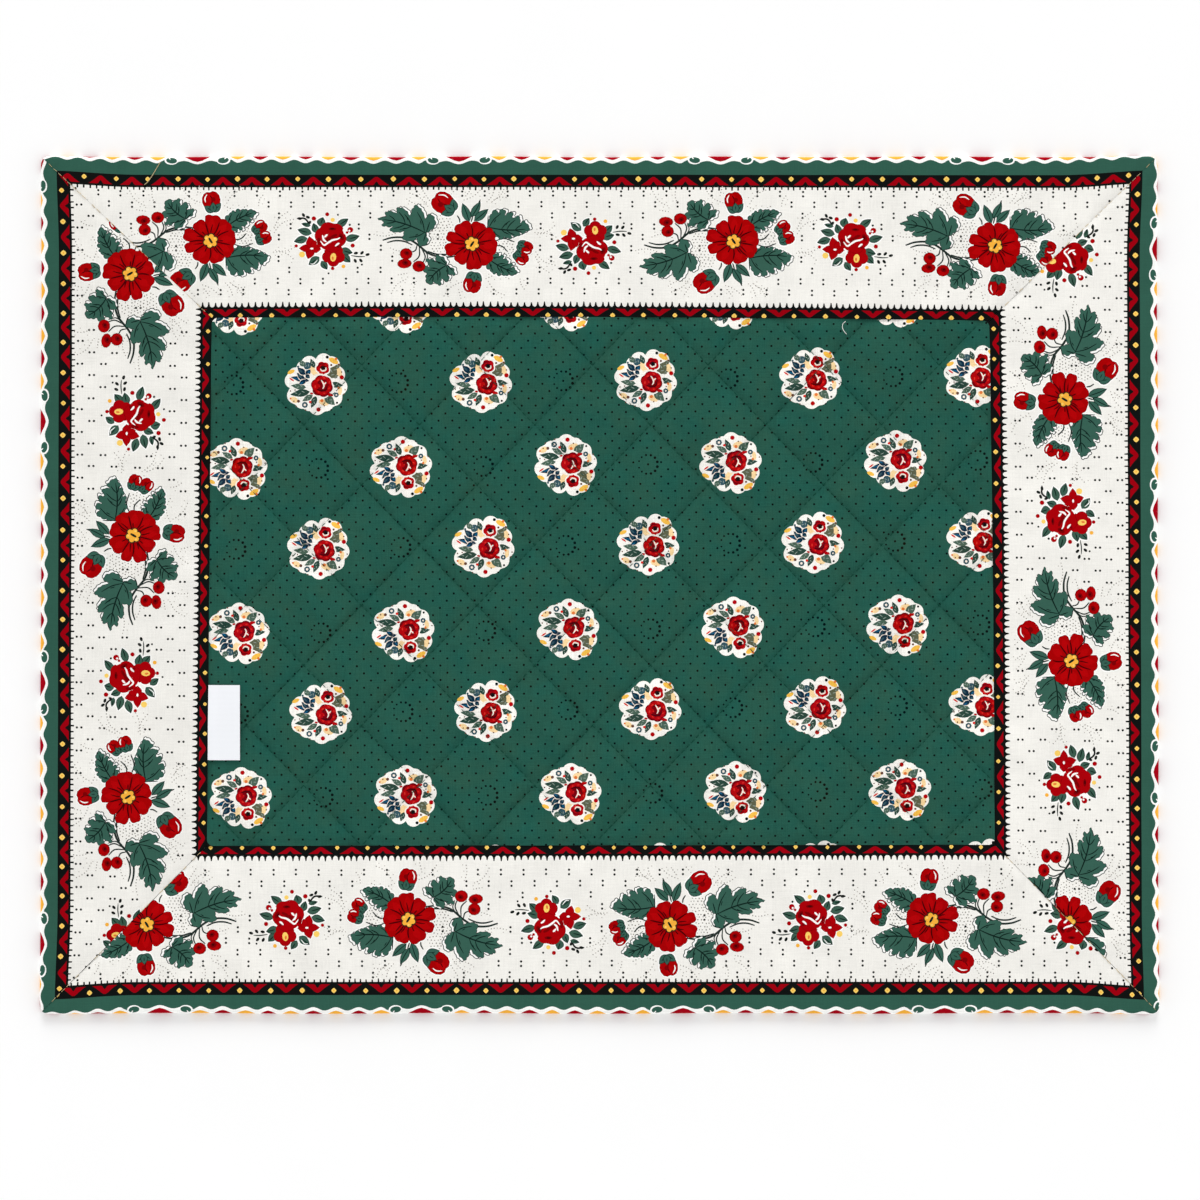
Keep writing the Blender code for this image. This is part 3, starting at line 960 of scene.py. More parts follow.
# Width of each petal in degrees, its reach, how deep the gaps beside it cut, and its notch.
PETALS = (
    (41, 10.9, 0.08, 0.03), (36, 11.3, 0.10, 0.03), (40, 11.5, 0.09, 0.05), (40, 10.3, 0.16, 0.03),
    (38, 12.0, 0.30, 0.04), (31, 11.5, 0.26, 0.02), (53, 10.7, 0.18, 0.06), (44, 10.1, 0.15, 0.03),
    (37, 10.8, 0.13, 0.03),
)


def border_flower():
    """The open red flower: nine notched petals with dark folds, and a gold eye."""
    edge, petals, folds = [], [], []
    start = -12.0
    for number, (wide, reach, gap, notch) in enumerate(PETALS):
        for part in range(11):
            off = abs(2 * part / 11 - 1)
            dent = notch * max(0.0, 1 - off / 0.35)
            edge.append(lean(start + wide * part / 11) * reach * (1 - gap * off**4 - dent))
        middle = lean(start + wide * (0.44 + 0.05 * (number % 3)))
        petals.append(("petal light", plain_leaf(4.4 * middle, reach * 0.9 * middle, 3.2, 4)))
        fold = lean(start)
        swerve = lean(5 * math.sin(2.1 * number))
        folds.append(pen([2.4 * fold, 5.6 * fold * swerve, reach * 0.8 * fold], 0.62, 0.3))
        crease = lean(start + wide * (0.3 + 0.12 * (number % 4)))
        crease_end = (5.4 + number % 3) * crease * swerve
        folds.append(pen([3.2 * crease, 4.6 * crease, crease_end], 0.5, 0.2))
        start += wide
    shapes = [("fold line", grown(edge, 0.14)), ("flower red", edge)] + petals
    shapes.append(("fold red", scalloped(0, [(60 * k, 2.2, 1.5) for k in range(6)], 24)))
    shapes += [("fold line", fold) for fold in folds]
    shapes += rosette(0, 6, 20, 2.0, 1.05, 0.4, ("leaf line", "gold"), 42)
    for k in range(0, 6, 2):
        shapes.append(("pale gold", patch(2.1 * lean(60 * k + 28), 0.5, 6)))
    shapes.append(("leaf line", pen([-0.7 + 1.3j, 0.0 + 0.1j, 0.8 - 1.1j], 1.0, 0.5)))
    return shapes


def bud(at, direction, size):
    """A closed bud of two petals with its highlight, held in a green calyx."""
    way = lean(direction)
    shapes = []
    for ink, more in (("fold line", 0.14), ("flower red", 0.0)):
        for off in (0.26j, -0.26j):
            spot = at + way * off * size
            shapes.append((ink, patch(spot, size + more, 12, 0.74, direction + 14 * off.imag)))
    shapes.append(("petal light", patch(at + 0.3 * way * size, size * 0.5, 9, 0.7, direction)))
    fold = [at + size * way * c for c in (-0.5 + 0.1j, 0.1 - 0.12j, 0.66 + 0.05j)]
    shapes.append(("fold line", pen(fold, 0.5, 0.25)))
    shapes.append(("fold red", patch(at + size * way * (0.1 - 0.25j), size * 0.26, 7)))
    arc = [at + size * way * c for c in (-0.1 + 0.66j, 0.36 + 0.64j, 0.78 + 0.34j)]
    shapes.append(("white", pen(arc, 0.55, 0.2)))
    root = at - way * size * 1.3
    for spread, reach in ((-50, 1.25), (46, 1.15), (-8, 1.05)):
        tip = root + way * lean(spread) * size * reach
        leaf = plain_leaf(root, tip, size * 0.7, 6)
        shapes += [("leaf line", grown(leaf, 0.25)), ("leaf green", leaf)]
        vein = [root * 0.7 + tip * 0.3, root * 0.3 + tip * 0.7]
        shapes.append(("leaf line", pen(vein, 0.36)))
    return shapes


def berry(at, radius, squash, tilt):
    """A round berry with its light and dark side."""
    return [
        ("fold line", patch(at, radius + 0.16, 11, squash, tilt)),
        ("flower red", patch(at, radius, 11, squash, tilt)),
        ("petal light", patch(at + lean(120) * radius * 0.4, radius * 0.5, 8, 0.7, 30)),
        ("fold red", patch(at + 0.3 - 0.3j, radius * 0.5, 7, 0.8, tilt + 30)),
        ("fold line", patch(at + 0.4 - 0.4j, radius * 0.22, 6, 0.8, tilt)),
    ]


# Pen lines of the stems: width and the points they pass through.
SPRAY_STEMS = (
    (0.95, (-38.4 - 0.9j, -34.0 - 2.2j, -28.6 - 2.1j, -24.0 + 0.2j, -18.4 + 4.6j, -12.6 + 6.1j,
            -7.0 + 5.6j)),
    (0.72, (-36.4 + 0.1j, -33.0 - 0.8j, -29.2 - 0.6j, -25.6 + 0.9j)),
    (0.72, (-19.0 + 3.6j, -14.6 + 4.9j, -8.2 + 4.7j)),
    (0.6, (-11.0 + 6.0j, -10.6 + 7.6j, -10.9 + 9.8j)),
    (0.6, (-19.6 - 3.6j, -18.4 - 2.0j, -18.9 + 0.4j, -22.2 + 1.4j)),
    (0.6, (-23.6 + 1.0j, -24.2 + 3.2j, -26.0 + 4.2j)),
    (0.6, (-22.6 + 1.6j, -22.6 + 5.8j, -25.0 + 8.4j)),
    (0.6, (-21.8 + 2.0j, -20.0 + 5.8j, -20.9 + 8.8j)),
    (0.5, (-21.0 + 2.6j, -19.0 + 5.4j, -19.8 + 8.6j)),
    (0.6, (-6.6 - 12.4j, -5.6 - 10.8j, -5.4 - 9.2j)),
    (0.6, (9.8 - 1.4j, 13.8 - 2.6j, 18.2 - 1.2j)),
    (0.6, (9.8 + 0.6j, 12.8 + 0.8j, 15.4 + 3.2j)),
    (0.6, (-0.6 - 9.6j, 0.2 - 12.4j)), (0.6, (3.2 - 19.6j, 2.2 - 17.2j)),
)
# Kind of leaf, base, tip, spread, and how full its near and far side are.
SPRAY_LEAVES = (
    (VINE_LEAF, -10.3 + 9.4j, -18.8 + 17.8j, 12.4, 1.0, 0.92),
    (TOOTHED_LEAF, 7.0 + 6.4j, 19.4 + 12.6j, 8.8, 0.9, 1.0),
    (TOOTHED_LEAF, 6.2 - 7.6j, 24.6 - 7.2j, 13.0, 0.6, 1.3),
    (LONG_LEAF, -19.4 - 4.2j, -40.4 - 10.4j, 15.0, 1.1, 0.8),
)
SPRAY_SMALL_LEAVES = (
    (-1.4 - 9.8j, -4.4 - 17.8j, 3.4), (-0.4 - 12.0j, 3.2 - 18.6j, 3.0),
    (0.8 - 10.2j, 6.6 - 15.4j, 3.2),
)
# Place, radius, squash and tilt of the berries; place, direction and size of the buds.
SPRAY_BERRIES = (
    (-28.2 + 4.9j, 2.6, 0.94, 0), (-28.8 + 9.2j, 3.0, 0.68, -6), (-22.6 + 10.3j, 2.7, 0.9, -8),
)
SPRAY_BUDS = (
    (0.4 + 17.7j, 100, 3.9), (21.4 + 6.0j, 42, 2.9), (23.2 + 1.3j, 20, 2.9),
    (-12.8 - 17.9j, 215, 4.7),
)
# How far the leaves' pen outlines slipped against their green.
PEN_SLIP = 1.15 - 0.5j


def flower_spray():
    """A flower on its stem, with berries, buds and lobed leaves round it."""
    shapes = []
    for width, curve in SPRAY_STEMS:
        shapes.append(("stem line", pen(curve, width, 0.6)))
    for kind, base, tip, wide, near, far in SPRAY_LEAVES:
        shapes += lobed_leaf(kind, base, tip, wide, near, far)
    for base, tip, wide in SPRAY_SMALL_LEAVES:
        leaf = plain_leaf(base, tip, wide)
        shapes += [("leaf line", grown(leaf, 0.25)), ("leaf green", leaf)]
        shapes.append(("leaf line", pen([base, (base + tip) / 2 + 0.2, tip], 0.4)))
    for measures in SPRAY_BERRIES:
        shapes += berry(*measures)
    for measures in SPRAY_BUDS:
        shapes += bud(*measures)
    return shapes + border_flower()


# Base, tip and width of each leaf.
POSY_LEAVES = (
    (-5.2 + 8.6j, -9.4 + 12.0j, 3.2), (-4.0 + 10.4j, -1.6 + 13.8j, 2.6),
    (5.0 + 7.4j, 8.2 + 10.4j, 3.0), (3.9 + 5.2j, 9.0 + 6.3j, 3.1), (6.0 + 0.6j, 11.8 - 1.2j, 3.0),
    (2.2 - 5.2j, 6.8 - 8.6j, 2.9), (-5.2 - 5.2j, -4.0 - 8.9j, 3.4), (-6.6 - 2.2j, -8.0 - 6.2j, 2.7),
    (-8.8 - 1.8j, -14.6 - 3.3j, 3.1), (-10.6 + 0.4j, -16.0 + 2.0j, 3.0),
    (-9.4 - 5.2j, -13.0 - 6.0j, 1.5),
)
# Place and tilt of the sprigs' drops.
POSY_DROPS = (
    (10.4 + 9.8j, 62), (12.8 + 9.6j, 48), (10.6 + 6.4j, -12), (13.2 + 6.2j, -48),
    (15.6 + 6.9j, -18), (-12.4 - 9.8j, 60), (-10.5 - 8.9j, 20), (-9.7 - 6.5j, -60),
    (-14.0 - 8.2j, 10),
)
# Ink, place and radius of the loose spots.
POSY_SPOTS = (
    ("rose red", 0.8 + 13.4j, 0.8), ("gold", 5.4 + 12.4j, 0.85), ("rose red", 9.1 + 3.1j, 0.95),
    ("white", 6.9 - 3.6j, 2.3), ("rose red", 7.9 - 3.8j, 1.3), ("rose red", 6.5 - 2.6j, 0.6),
    ("white", 7.5 - 3.4j, 0.45), ("leaf line", 7.6 - 6.0j, 0.5), ("pale gold", 0.2 - 8.0j, 0.95),
    ("rose red", -7.9 - 8.4j, 1.0), ("rose red", -2.2 - 10.4j, 0.9),
    ("rose red", -15.1 + 3.9j, 0.75), ("pale gold", -12.5 + 7.6j, 1.35),
    ("dot", 13.3 + 11.4j, 0.45), ("dot", -0.9 + 15.6j, 0.45), ("dot", 2.4 - 10.3j, 0.45),
)


def posy():
    """A small posy: a rose, two lesser flowers, leaves, loose dots and two dotted sprigs."""
    shapes = []
    shapes.append(("stem line", pen([8.4 + 7.5j, 11.6 + 7.9j, 14.6 + 7.8j], 0.5)))
    shapes.append(("dot", pen([-9.6 - 5.4j, -11.0 - 7.6j, -12.4 - 8.4j, -15.2 - 8.2j], 0.8, 0.6)))
    for at, tilt in POSY_DROPS:
        shapes.append(("dot", patch(at, 0.98, 8, 0.64, tilt)))
    for base, tip, wide in POSY_LEAVES:
        leaf = plain_leaf(base, tip, wide, 6)
        shapes += [("leaf line", grown(leaf, 0.22)), ("posy leaf", leaf)]
        vein = [base * 0.7 + tip * 0.3, base * 0.4 + tip * 0.6 + 0.1j, tip]
        shapes.append(("leaf line", pen(vein, 0.46)))
    shapes.append(("white", pen([-8.8 + 11.6j, -7.4 + 11.6j, -5.8 + 9.8j], 0.4)))
    for tip, wide in (
        (-9.9 + 9.4j, 3.6), (-13.8 + 4.9j, 3.2), (-9.6 - 0.4j, 3.8), (-4.4 + 4.8j, 3.8),
        (-5.4 + 0.8j, 3.0),
    ):
        petal = plain_leaf(-8.5 + 4.8j, tip, wide, 6)
        shapes += [("fold red", grown(petal, 0.16)), ("rose red", petal)]
    shapes.append(("white", patch(-8.4 + 4.9j, 0.75, 7, 0.6)))
    shapes.append(("white", pen([-7.2 + 0.6j, -6.2 + 1.8j, -6.0 + 3.2j], 0.45)))
    shapes += rosette(1.0 + 7.6j, 5, 18, 2.5, 2.4, 0.14, ("fold red", "rose red"), 40)
    shapes += [
        ("pale gold", patch(0.9 + 8.5j, 1.9, 10, 0.68, 96)),
        ("orange", patch(0.7 + 8.9j, 0.85, 7, 0.55, 84)),
        ("fold line", patch(-0.4 + 5.2j, 1.2, 8, 0.75, 70)),
    ]
    shapes += rosette(-0.5 - 0.3j, 6, 10, 3.3, 3.45, 0.14, ("fold red", "rose red"), 42)
    for at, size, squash, tilt in (
        (-0.9 + 0.4j, 2.0, 0.5, -20), (4.2 - 0.6j, 1.7, 0.6, 60), (-5.4 + 1.6j, 1.7, 0.45, 80),
        (0.2 - 4.0j, 1.7, 0.4, 0), (1.0 - 1.0j, 1.6, 0.4, -24), (2.6 + 3.4j, 1.2, 0.5, 40),
    ):
        shapes.append(("fold red", patch(at, size, 8, squash, tilt)))
    shapes.append(("fold line", patch(0.1 - 4.1j, 0.9, 7, 0.4, 0)))
    shapes.append(("fold line", patch(4.0 - 0.6j, 0.8, 7, 0.5, 60)))
    strokes = (
        (-4.8 + 1.4j, -3.2 + 3.2j, -1.6 + 2.2j, 0.2 + 1.0j, 2.4 + 0.4j, 3.6 - 0.3j),
        (-4.6 + 4.2j, -3.8 + 5.2j, -2.8 + 5.4j), (-4.0 - 1.2j, -3.4 + 0.8j, -2.2 + 1.8j),
        (-3.2 - 0.2j, -2.4 - 1.0j, -1.8 - 1.5j), (1.6 + 3.6j, 2.6 + 2.6j, 3.4 + 2.2j),
    )
    for stroke in strokes:
        shapes.append(("white", pen(stroke, 0.85, 0.3)))
    for ink, at, radius in POSY_SPOTS:
        shapes.append((ink, patch(at, radius, 8)))
    return shapes


# Dotted fern fronds round the spray: start, end and bow.
FRONDS = (
    (-19.0 - 16.6j, -26.6 - 22.4j, 0.10), (-20.6 - 17.6j, -28.0 - 19.8j, -0.12),
    (-17.6 - 18.2j, -21.0 - 23.4j, 0.0), (-3.4 - 19.4j, 3.4 - 23.6j, 0.08),
    (-2.6 - 21.2j, -0.6 - 24.0j, 0.0), (6.4 - 18.6j, 9.4 - 23.8j, 0.10),
    (8.4 - 18.4j, 14.6 - 20.4j, -0.15), (10.0 - 19.6j, 13.6 - 24.0j, 0.1),
    (27.0 - 5.0j, 35.4 - 8.0j, 0.15), (28.0 - 4.2j, 36.0 - 3.0j, -0.12),
    (27.4 + 3.6j, 35.6 + 9.4j, 0.14), (27.4 + 5.6j, 33.0 + 12.6j, 0.12),
    (6.0 + 15.4j, 15.8 + 15.4j, -0.16), (7.0 + 16.6j, 13.8 + 22.6j, 0.12),
    (20.6 + 15.6j, 22.4 + 20.0j, 0.1), (-28.4 + 15.6j, -34.6 + 21.8j, 0.12),
    (-24.0 + 16.6j, -24.8 + 23.0j, 0.1), (-4.6 + 17.0j, -12.0 + 23.0j, 0.12),
    (-5.8 + 20.2j, -4.8 + 24.0j, 0.0), (-42.0 - 4.2j, -33.0 - 4.6j, 0.1),
    (-35.0 + 1.8j, -26.4 + 1.6j, 0.16), (17.6 + 3.4j, 25.6 + 4.4j, -0.1),
    (-31.6 + 13.6j, -28.0 + 13.0j, 0.0), (-9.0 - 22.0j, -7.0 - 24.2j, 0.0),
)


def speckles(seed):
    """Fine speckles beside the flower and dotted fern fronds round the spray."""
    drift = random.Random(seed)
    shapes = []
    for centre, wide, high in ((-12.6 - 3.2j, 7.0, 9.2), (14.0 + 1.4j, 4.6, 5.0)):
        for row in range(-8, 9):
            for column in range(-7, 8):
                off = complex(column * 1.45 + 0.72 * (row % 2), row * 1.3)
                if (off.real / wide) ** 2 + (off.imag / high) ** 2 < 1:
                    slip = complex(drift.uniform(-0.25, 0.25), drift.uniform(-0.25, 0.25))
                    spot = centre + off + slip
                    shapes.append(("speckle", patch(spot, drift.uniform(0.26, 0.38), 4, 1.0, 45)))
    for start, end, bow in FRONDS:
        run = end - start
        count = round(abs(run) / 1.25)
        for k in range(count + 1):
            share = k / count
            spot = start + run * share + 1j * run * bow * math.sin(math.pi * share)
            ink = "speckle" if k % 3 else "faint speckle"
            shapes.append((ink, patch(spot, 0.31, 4, 1.0, 45)))
            if k % 2:
                away = 1j * run / abs(run) * drift.uniform(1.2, 1.9) * drift.choice((1, -1))
                shapes.append(("faint speckle", patch(spot + away, 0.28, 4, 1.0, 45)))
    return shapes


def reserves(shapes):
    """White left round the bigger inked shapes, under all of them."""
    kept = ("leaf line", "fold red", "rose red", "flower red", "posy leaf")
    return [("white", grown(s, 0.55)) for ink, s in shapes if ink in kept and len(s) >= 12]


def strip_print(
    start, end, seed, stray, flower_at, rim_after, gold_after, outer_band, inner_band, tone
):
    """Every inked shape of one border strip, along the run and inward from its rim."""
    outer_start, outer_end = outer_band
    inner_black, inner_deep, inner_gold, inner_size = inner_band
    drift = random.Random(seed)

    def wobble(amount):
        return drift.uniform(-amount, amount)

    def line(inward, low=start - 2, high=end + 2, pitch=3.0):
        count = round((high - low) / pitch)
        steps = [low + (high - low) * k / count for k in range(count + 1)]
        return [complex(s, -inward(s)) for s in steps]

    level, swing = RIM_WAVE
    crest = flower_at + rim_after

    def rim(s):
        off = abs((s - crest + FLOWER_PITCH / 2) % FLOWER_PITCH - FLOWER_PITCH / 2)
        turn = np.interp(off, RIM_PLACES, range(len(RIM_PLACES)))
        swell = 0.55 * math.exp(-((off / 9) ** 4))
        return level + swing * math.cos(2 * math.pi * turn) + swell + 0.15 * math.sin(s / 21)

    shapes = [("white", line(lambda s: -6.0) + line(rim, pitch=1.2)[::-1])]
    shapes.append(("band green", line(rim, pitch=1.2) + line(lambda s: outer_start)[::-1]))
    for near, far in (outer_band, (inner_black, STRIP_WIDTH + 1)):
        shapes.append(("band black", line(lambda s: near) + line(lambda s: far)[::-1]))

    def each(pitch, shift=0.0):
        first = math.ceil((start - flower_at - shift) / pitch)
        last = math.floor((end - flower_at - shift) / pitch)
        return [flower_at + shift + k * pitch for k in range(first, last + 1)]

    places = [(crest + k * FLOWER_PITCH + way * off, number, way)
              for k in range(-4, 5) for number, off in enumerate(RIM_PLACES) for way in (1, -1)
              if way > 0 or 0 < number < len(RIM_PLACES) - 1]
    for s, number, way in places:
        if not start - 4 < s < end + 4:
            continue
        if number == 1:
            shapes += [
                ("white", patch(s - 1.75j, 3.0, 14, 0.66)),
                ("band green", patch(s - 1.75j, 2.35, 14, 0.6, way * 8)),
                ("white", pen([s + way * 1.2 - 0.3j, s + way * 0.5 - 1.3j], 0.55, 0.5)),
            ]
            continue
        ink = "gold" if number % 2 == 0 and number else "rim red"
        wide = 5.8 if number == 0 else 3.9 + wobble(0.5)
        low = 2.5 if number == 0 else 1.65 + wobble(0.2)
        share = (wide, wide * 0.72, wide * 0.36)
        falls = (0.86j, -low * 0.35j, -low * 0.78j)
        slope = [s - x + y for x, y in zip(share, falls)] + [s - low * 1j]
        slope += [s + x + y for x, y in zip(share[::-1], falls[::-1])]
        shapes.append((ink, slope + [s + wide * 0.45 + 2.4j, s - wide * 0.45 + 2.4j]))

    def stitched(pitch):
        return [s + 0.7 * math.sin(s / 15 + pitch) + wobble(0.22) for s in each(pitch)]

    pitch, wide, deep = OUTER_TEETH
    for s in stitched(pitch):
        reach = outer_end + deep * (1 + wobble(0.2))
        foot = -outer_end + 0.3
        tooth = [complex(s - wide / 2, foot), complex(s + wobble(0.15) - wide * 0.4, -reach)]
        tooth += [complex(s + wide * 0.4, -reach), complex(s + wide / 2, foot)]
        shapes.append(("band black", tooth))
    pitch, wide, deep = INNER_TEETH
    for s in stitched(pitch):
        top = -inner_black + deep * (1 + wobble(0.15))
        foot = -inner_black - 0.2
        tooth = [complex(s - pitch * 0.46, foot), complex(s - wide * 0.8, -inner_black + 0.5)]
        tooth += [complex(s - wide * 0.3, top), complex(s + wide * 0.3, top)]
        tooth += [complex(s + wide * 0.8, -inner_black + 0.5), complex(s + pitch * 0.46, foot)]
        shapes.append(("band black", tooth))

    slope = ((-5.4, 0.0), (-4.7, 0.4), (-3.6, 1.2), (-2.4, 2.2), (-1.3, 3.2), (-0.45, 3.75))
    slope += tuple((-x, y) for x, y in slope[::-1])
    hollow = ((1.5, 0.0), (0.8, 0.55), (0.7, 0.95), (0.0, 1.7))
    hollow += tuple((-x, y) for x, y in hollow[-2::-1])
    bands = (
        (gold_after[0], 0.95 - outer_end, 1, 0.95, outer_start + 1.9, 1.16),
        (gold_after[1], -inner_black - 0.9, -1, inner_deep, inner_gold, inner_size),
    )
    for after, foot, way, high, gold_depth, radius in bands:
        def ripple(s):
            return s + 0.8 * math.sin(s / 19 + after) + wobble(0.25)

        for s in each(CHEVRON_PITCH, after + CHEVRON_PITCH / 2):
            at, size = ripple(s), 1 + wobble(0.06)
            outline = [complex(at + x * size, foot + way * y * high) for x, y in slope + hollow]
            shapes.append(("chevron red", outline))
        for s in each(CHEVRON_PITCH, after):
            spot = complex(ripple(s), -gold_depth + wobble(0.12))
            size = radius * (1 + wobble(0.1))
            corners = [spot + lean(45 * k) * size * (0.84 if k % 2 else 1) for k in range(8)]
            shapes += [
                ("leaf line", grown(corners, 0.14)),
                ("pale gold", corners),
                ("gold", patch(spot, radius * 0.36, 5)),
            ]

    sprays, posies = [], []
    for k in range(-5, 6):
        at = flower_at + k * FLOWER_PITCH
        if start - 75 < at < end + 50:
            drop = 0.3 if k % 2 else -1.3
            sprays.append((complex(at, -FLOWER_LINE - drop + wobble(0.5)), k % 2 == 1))
        if start - 20 < at + POSY_AFTER < end + 20:
            drop = 2.3 if k % 2 else -2.8
            posies.append((complex(at + POSY_AFTER, -FLOWER_LINE - drop), k % 2 == 0))

    spray, small = flower_spray(), posy()
    blooms = [placed(reserves(spray) + spray, at, wobble(1.5), flip) for at, flip in sprays]
    blooms += [placed(reserves(small) + small, at, wobble(2), flip) for at, flip in posies]
    drawn = np.array([p for motif in blooms for _, shape in motif for p in shape])
    across, down = DOT_PAIR_PITCH
    for row in range(10):
        for s in each(across, DOT_PAIR_START[0] + 0.5 * (row % 2) * across - row * 0.12):
            spot = complex(s + wobble(0.15), -DOT_PAIR_START[1] - row * down + wobble(0.15))
            if np.abs(drawn - spot).min() > DOT_PAIR_CLEAR:
                for half in (0.5j, -0.5j):
                    pair = spot + half * DOT_PAIR_GAP
                    shapes.append(("dot", patch(pair, DOT_PAIR_RADIUS, 6)))
    for at, flip in sprays:
        shapes += placed(speckles(seed), at, 0, flip)
    for motif in blooms:
        shapes += motif

    def strayed(point):
        near_start = 1 - eased((point.real - start) / STRAY_REACH)
        near_end = 1 - eased((end - point.real) / STRAY_REACH)
        return point + 1j * (stray[0] * near_start + stray[1] * near_end)

    return [(ink, [strayed(p) for p in shape]) for ink, shape in shapes]


def strip_frame(strip):
    """The strip's corners, turned so that its print runs to the right."""
    _, start, end, along = strip[:4]
    outer = [OUTER_CORNERS[corner] / along for corner in (start, end)]
    inner = [SEAM_CORNERS[corner] / along for corner in (start, end)]
    return outer, inner


def between(s, ends):
    """Height of the line through both points, at a place along the run."""
    slope = (ends[1] - ends[0]).imag / (ends[1] - ends[0]).real
    return ends[0].imag + slope * (s - ends[0].real)


def strip_layer(strip):
    """A function that puts points of the flat strip where it lies, folded round its rim."""
    outer, inner = strip_frame(strip)
    bow = SEAM_BOWS[STRIPS.index(strip)]
    along, waves = strip[3:5]

    def lay(flat):
        s, d = flat[:, 0], -flat[:, 1]
        turn = np.clip((FOLD_RADIUS - d) / FOLD_RADIUS, 0, math.pi)
        inward = np.where(d > FOLD_RADIUS, d, FOLD_RADIUS * (1 - np.sin(turn)))
        share = (s - outer[0].real) / (outer[1] - outer[0]).real
        wander = EDGE_WANDER * np.sin(math.pi * waves * share) ** 2 * (1 - eased(inward / 8))
        seam_share = np.clip((s - inner[0].real) / (inner[1] - inner[0]).real, 0, 1)
        width = between(s, outer) - between(s, inner) - bow * np.sin(math.pi * seam_share)
        spot = s + 1j * (between(s, outer) - wander - inward * width / STRIP_WIDTH)
        mitre_sink = 0
        for corner, tip, way in ((outer[0], inner[0], 1), (outer[1], inner[1], -1)):
            centre = corner + CORNER_ROUNDING * (way - 1j)
            arm = spot - centre
            longest = np.maximum(np.abs(arm.real), np.abs(arm.imag))
            square = longest / np.maximum(np.abs(arm), 1e-9)
            pull = (1 - square) * np.clip(longest / CORNER_ROUNDING, 0, 1) ** 2
            rounded = (arm.real * way < 0) & (arm.imag > 0)
            spot = np.where(rounded, centre + arm * (1 - pull), spot)
            mitre = corner.real + (tip - corner).real * inward / STRIP_WIDTH
            apart = np.abs(s - mitre) / math.sqrt(2)
            mitre_sink = mitre_sink + MITRE_SINK * (1 - eased(apart / MITRE_SINK_REACH))
        level = STRIP_THICKNESS + TOP_WAVE * np.sin(2 * math.pi * s / TOP_WAVE_LENGTH + waves)
        level += RIPPLE * np.sin(s / 6.1 + 2 * np.sin(inward / 9)) * eased(inward / 12)
        level += PUCKER * np.sin(s / 3.3 + inward / 5) * eased((inward - PUCKER_START) / 16)
        level -= mitre_sink * eased(inward / 4)
        level -= HEM_SINK * eased((inward - (STRIP_WIDTH - HEM_SINK_REACH)) / HEM_SINK_REACH)
        height = level * np.where(d > FOLD_RADIUS, 1.0, (1 + np.cos(turn)) / 2)
        spot = spot * along
        return np.stack([spot.real, spot.imag, height], 1)

    return lay


STRIP_LATTICE_PITCH = 2.5
STRIP_RIM_PITCH = 3.0
FOLD_STEPS = 8
MITRE_STEPS = 26


def strip_outline(strip):
    """The flat strip's cut edge: below its rim, up one mitre, along the seam, down the other."""
    outer, inner = strip_frame(strip)

    def mitre(corner, tip, slit):
        turns = [math.pi * (1 - k / FOLD_STEPS) for k in range(FOLD_STEPS)]
        marks = [(FOLD_RADIUS * (1 - t), FOLD_RADIUS * (1 - math.sin(t))) for t in turns]
        for k in range(MITRE_STEPS + 1):
            inward = FOLD_RADIUS + (STRIP_WIDTH - SEAM_SLIT - FOLD_RADIUS) * k / MITRE_STEPS
            marks.append((inward, inward))
        run = (tip - corner).real
        return [complex(corner.real + run * a / STRIP_WIDTH + slit, -d) for d, a in marks]

    first = mitre(outer[0], inner[0], MITRE_SLIT)
    last = mitre(outer[1], inner[1], -MITRE_SLIT)[::-1]

    def straight(a, b):
        count = round(abs(b - a) / STRIP_RIM_PITCH)
        return [a + (b - a) * k / count for k in range(1, count)]

    return first + straight(first[-1], last[0]) + last + straight(last[-1], first[0])


def strip_lattice(strip):
    """Points inside the flat strip: rows round the fold, then a staggered grid."""
    outer, inner = strip_frame(strip)
    points = []
    rows = [FOLD_RADIUS * (1 - math.pi * k / FOLD_STEPS) for k in range(FOLD_STEPS)]
    count = round((STRIP_WIDTH - FOLD_RADIUS) / STRIP_LATTICE_PITCH)
    rows += [FOLD_RADIUS + STRIP_LATTICE_PITCH * k for k in range(1, count)]
    for row, d in enumerate(rows):
        inward = max(d, FOLD_RADIUS)
        low = outer[0].real + (inner[0] - outer[0]).real * inward / STRIP_WIDTH
        high = outer[1].real + (inner[1] - outer[1]).real * inward / STRIP_WIDTH
        columns = int((high - low) / STRIP_LATTICE_PITCH) - 1
        shift = 1 + 0.5 * (row % 2)
        points += [complex(low + STRIP_LATTICE_PITCH * (k + shift), -d) for k in range(columns)]
    return points


border_cotton = cotton("border_cotton", blotch=0.11, fleck=0.12, warmth=0.003)
for number, strip in enumerate(STRIPS):
    name, _, _, _, _, print_settings = strip
    outer, _ = strip_frame(strip)
    ends = outer[0].real, outer[1].real
    shapes = strip_print(*ends, 31 + number, **print_settings)
    flat, triangles, tops, _ = cut_cloth(strip_outline(strip), shapes, strip_lattice(strip))
    lay = strip_layer(strip)
    shades = np.array([linear(INKS["ground"])] + [linear(INKS[ink]) for ink, _ in shapes])
    # Painted light and shade: each strip's colours are made brighter or darker as a whole, as the
    # light falls.
    shades *= print_settings["tone"]
    piece = closed_cloth(name + "_cloth", flat, triangles, shades[tops], lay, border_cotton)
    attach(piece, "root")
    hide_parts(name)

# ---------------------------------------------------------------------------------------------
# Sewing threads at the corners: each mitre is closed by a line of stitches in tan thread, and a
# few trimmed ends of sewing thread were left lying on the cloth.

TAN_COLOUR = (206, 184, 138)
WHITE_COLOUR = (236, 236, 230)
MITRE_THREAD = 0.22
LOOSE_THREAD = 0.3
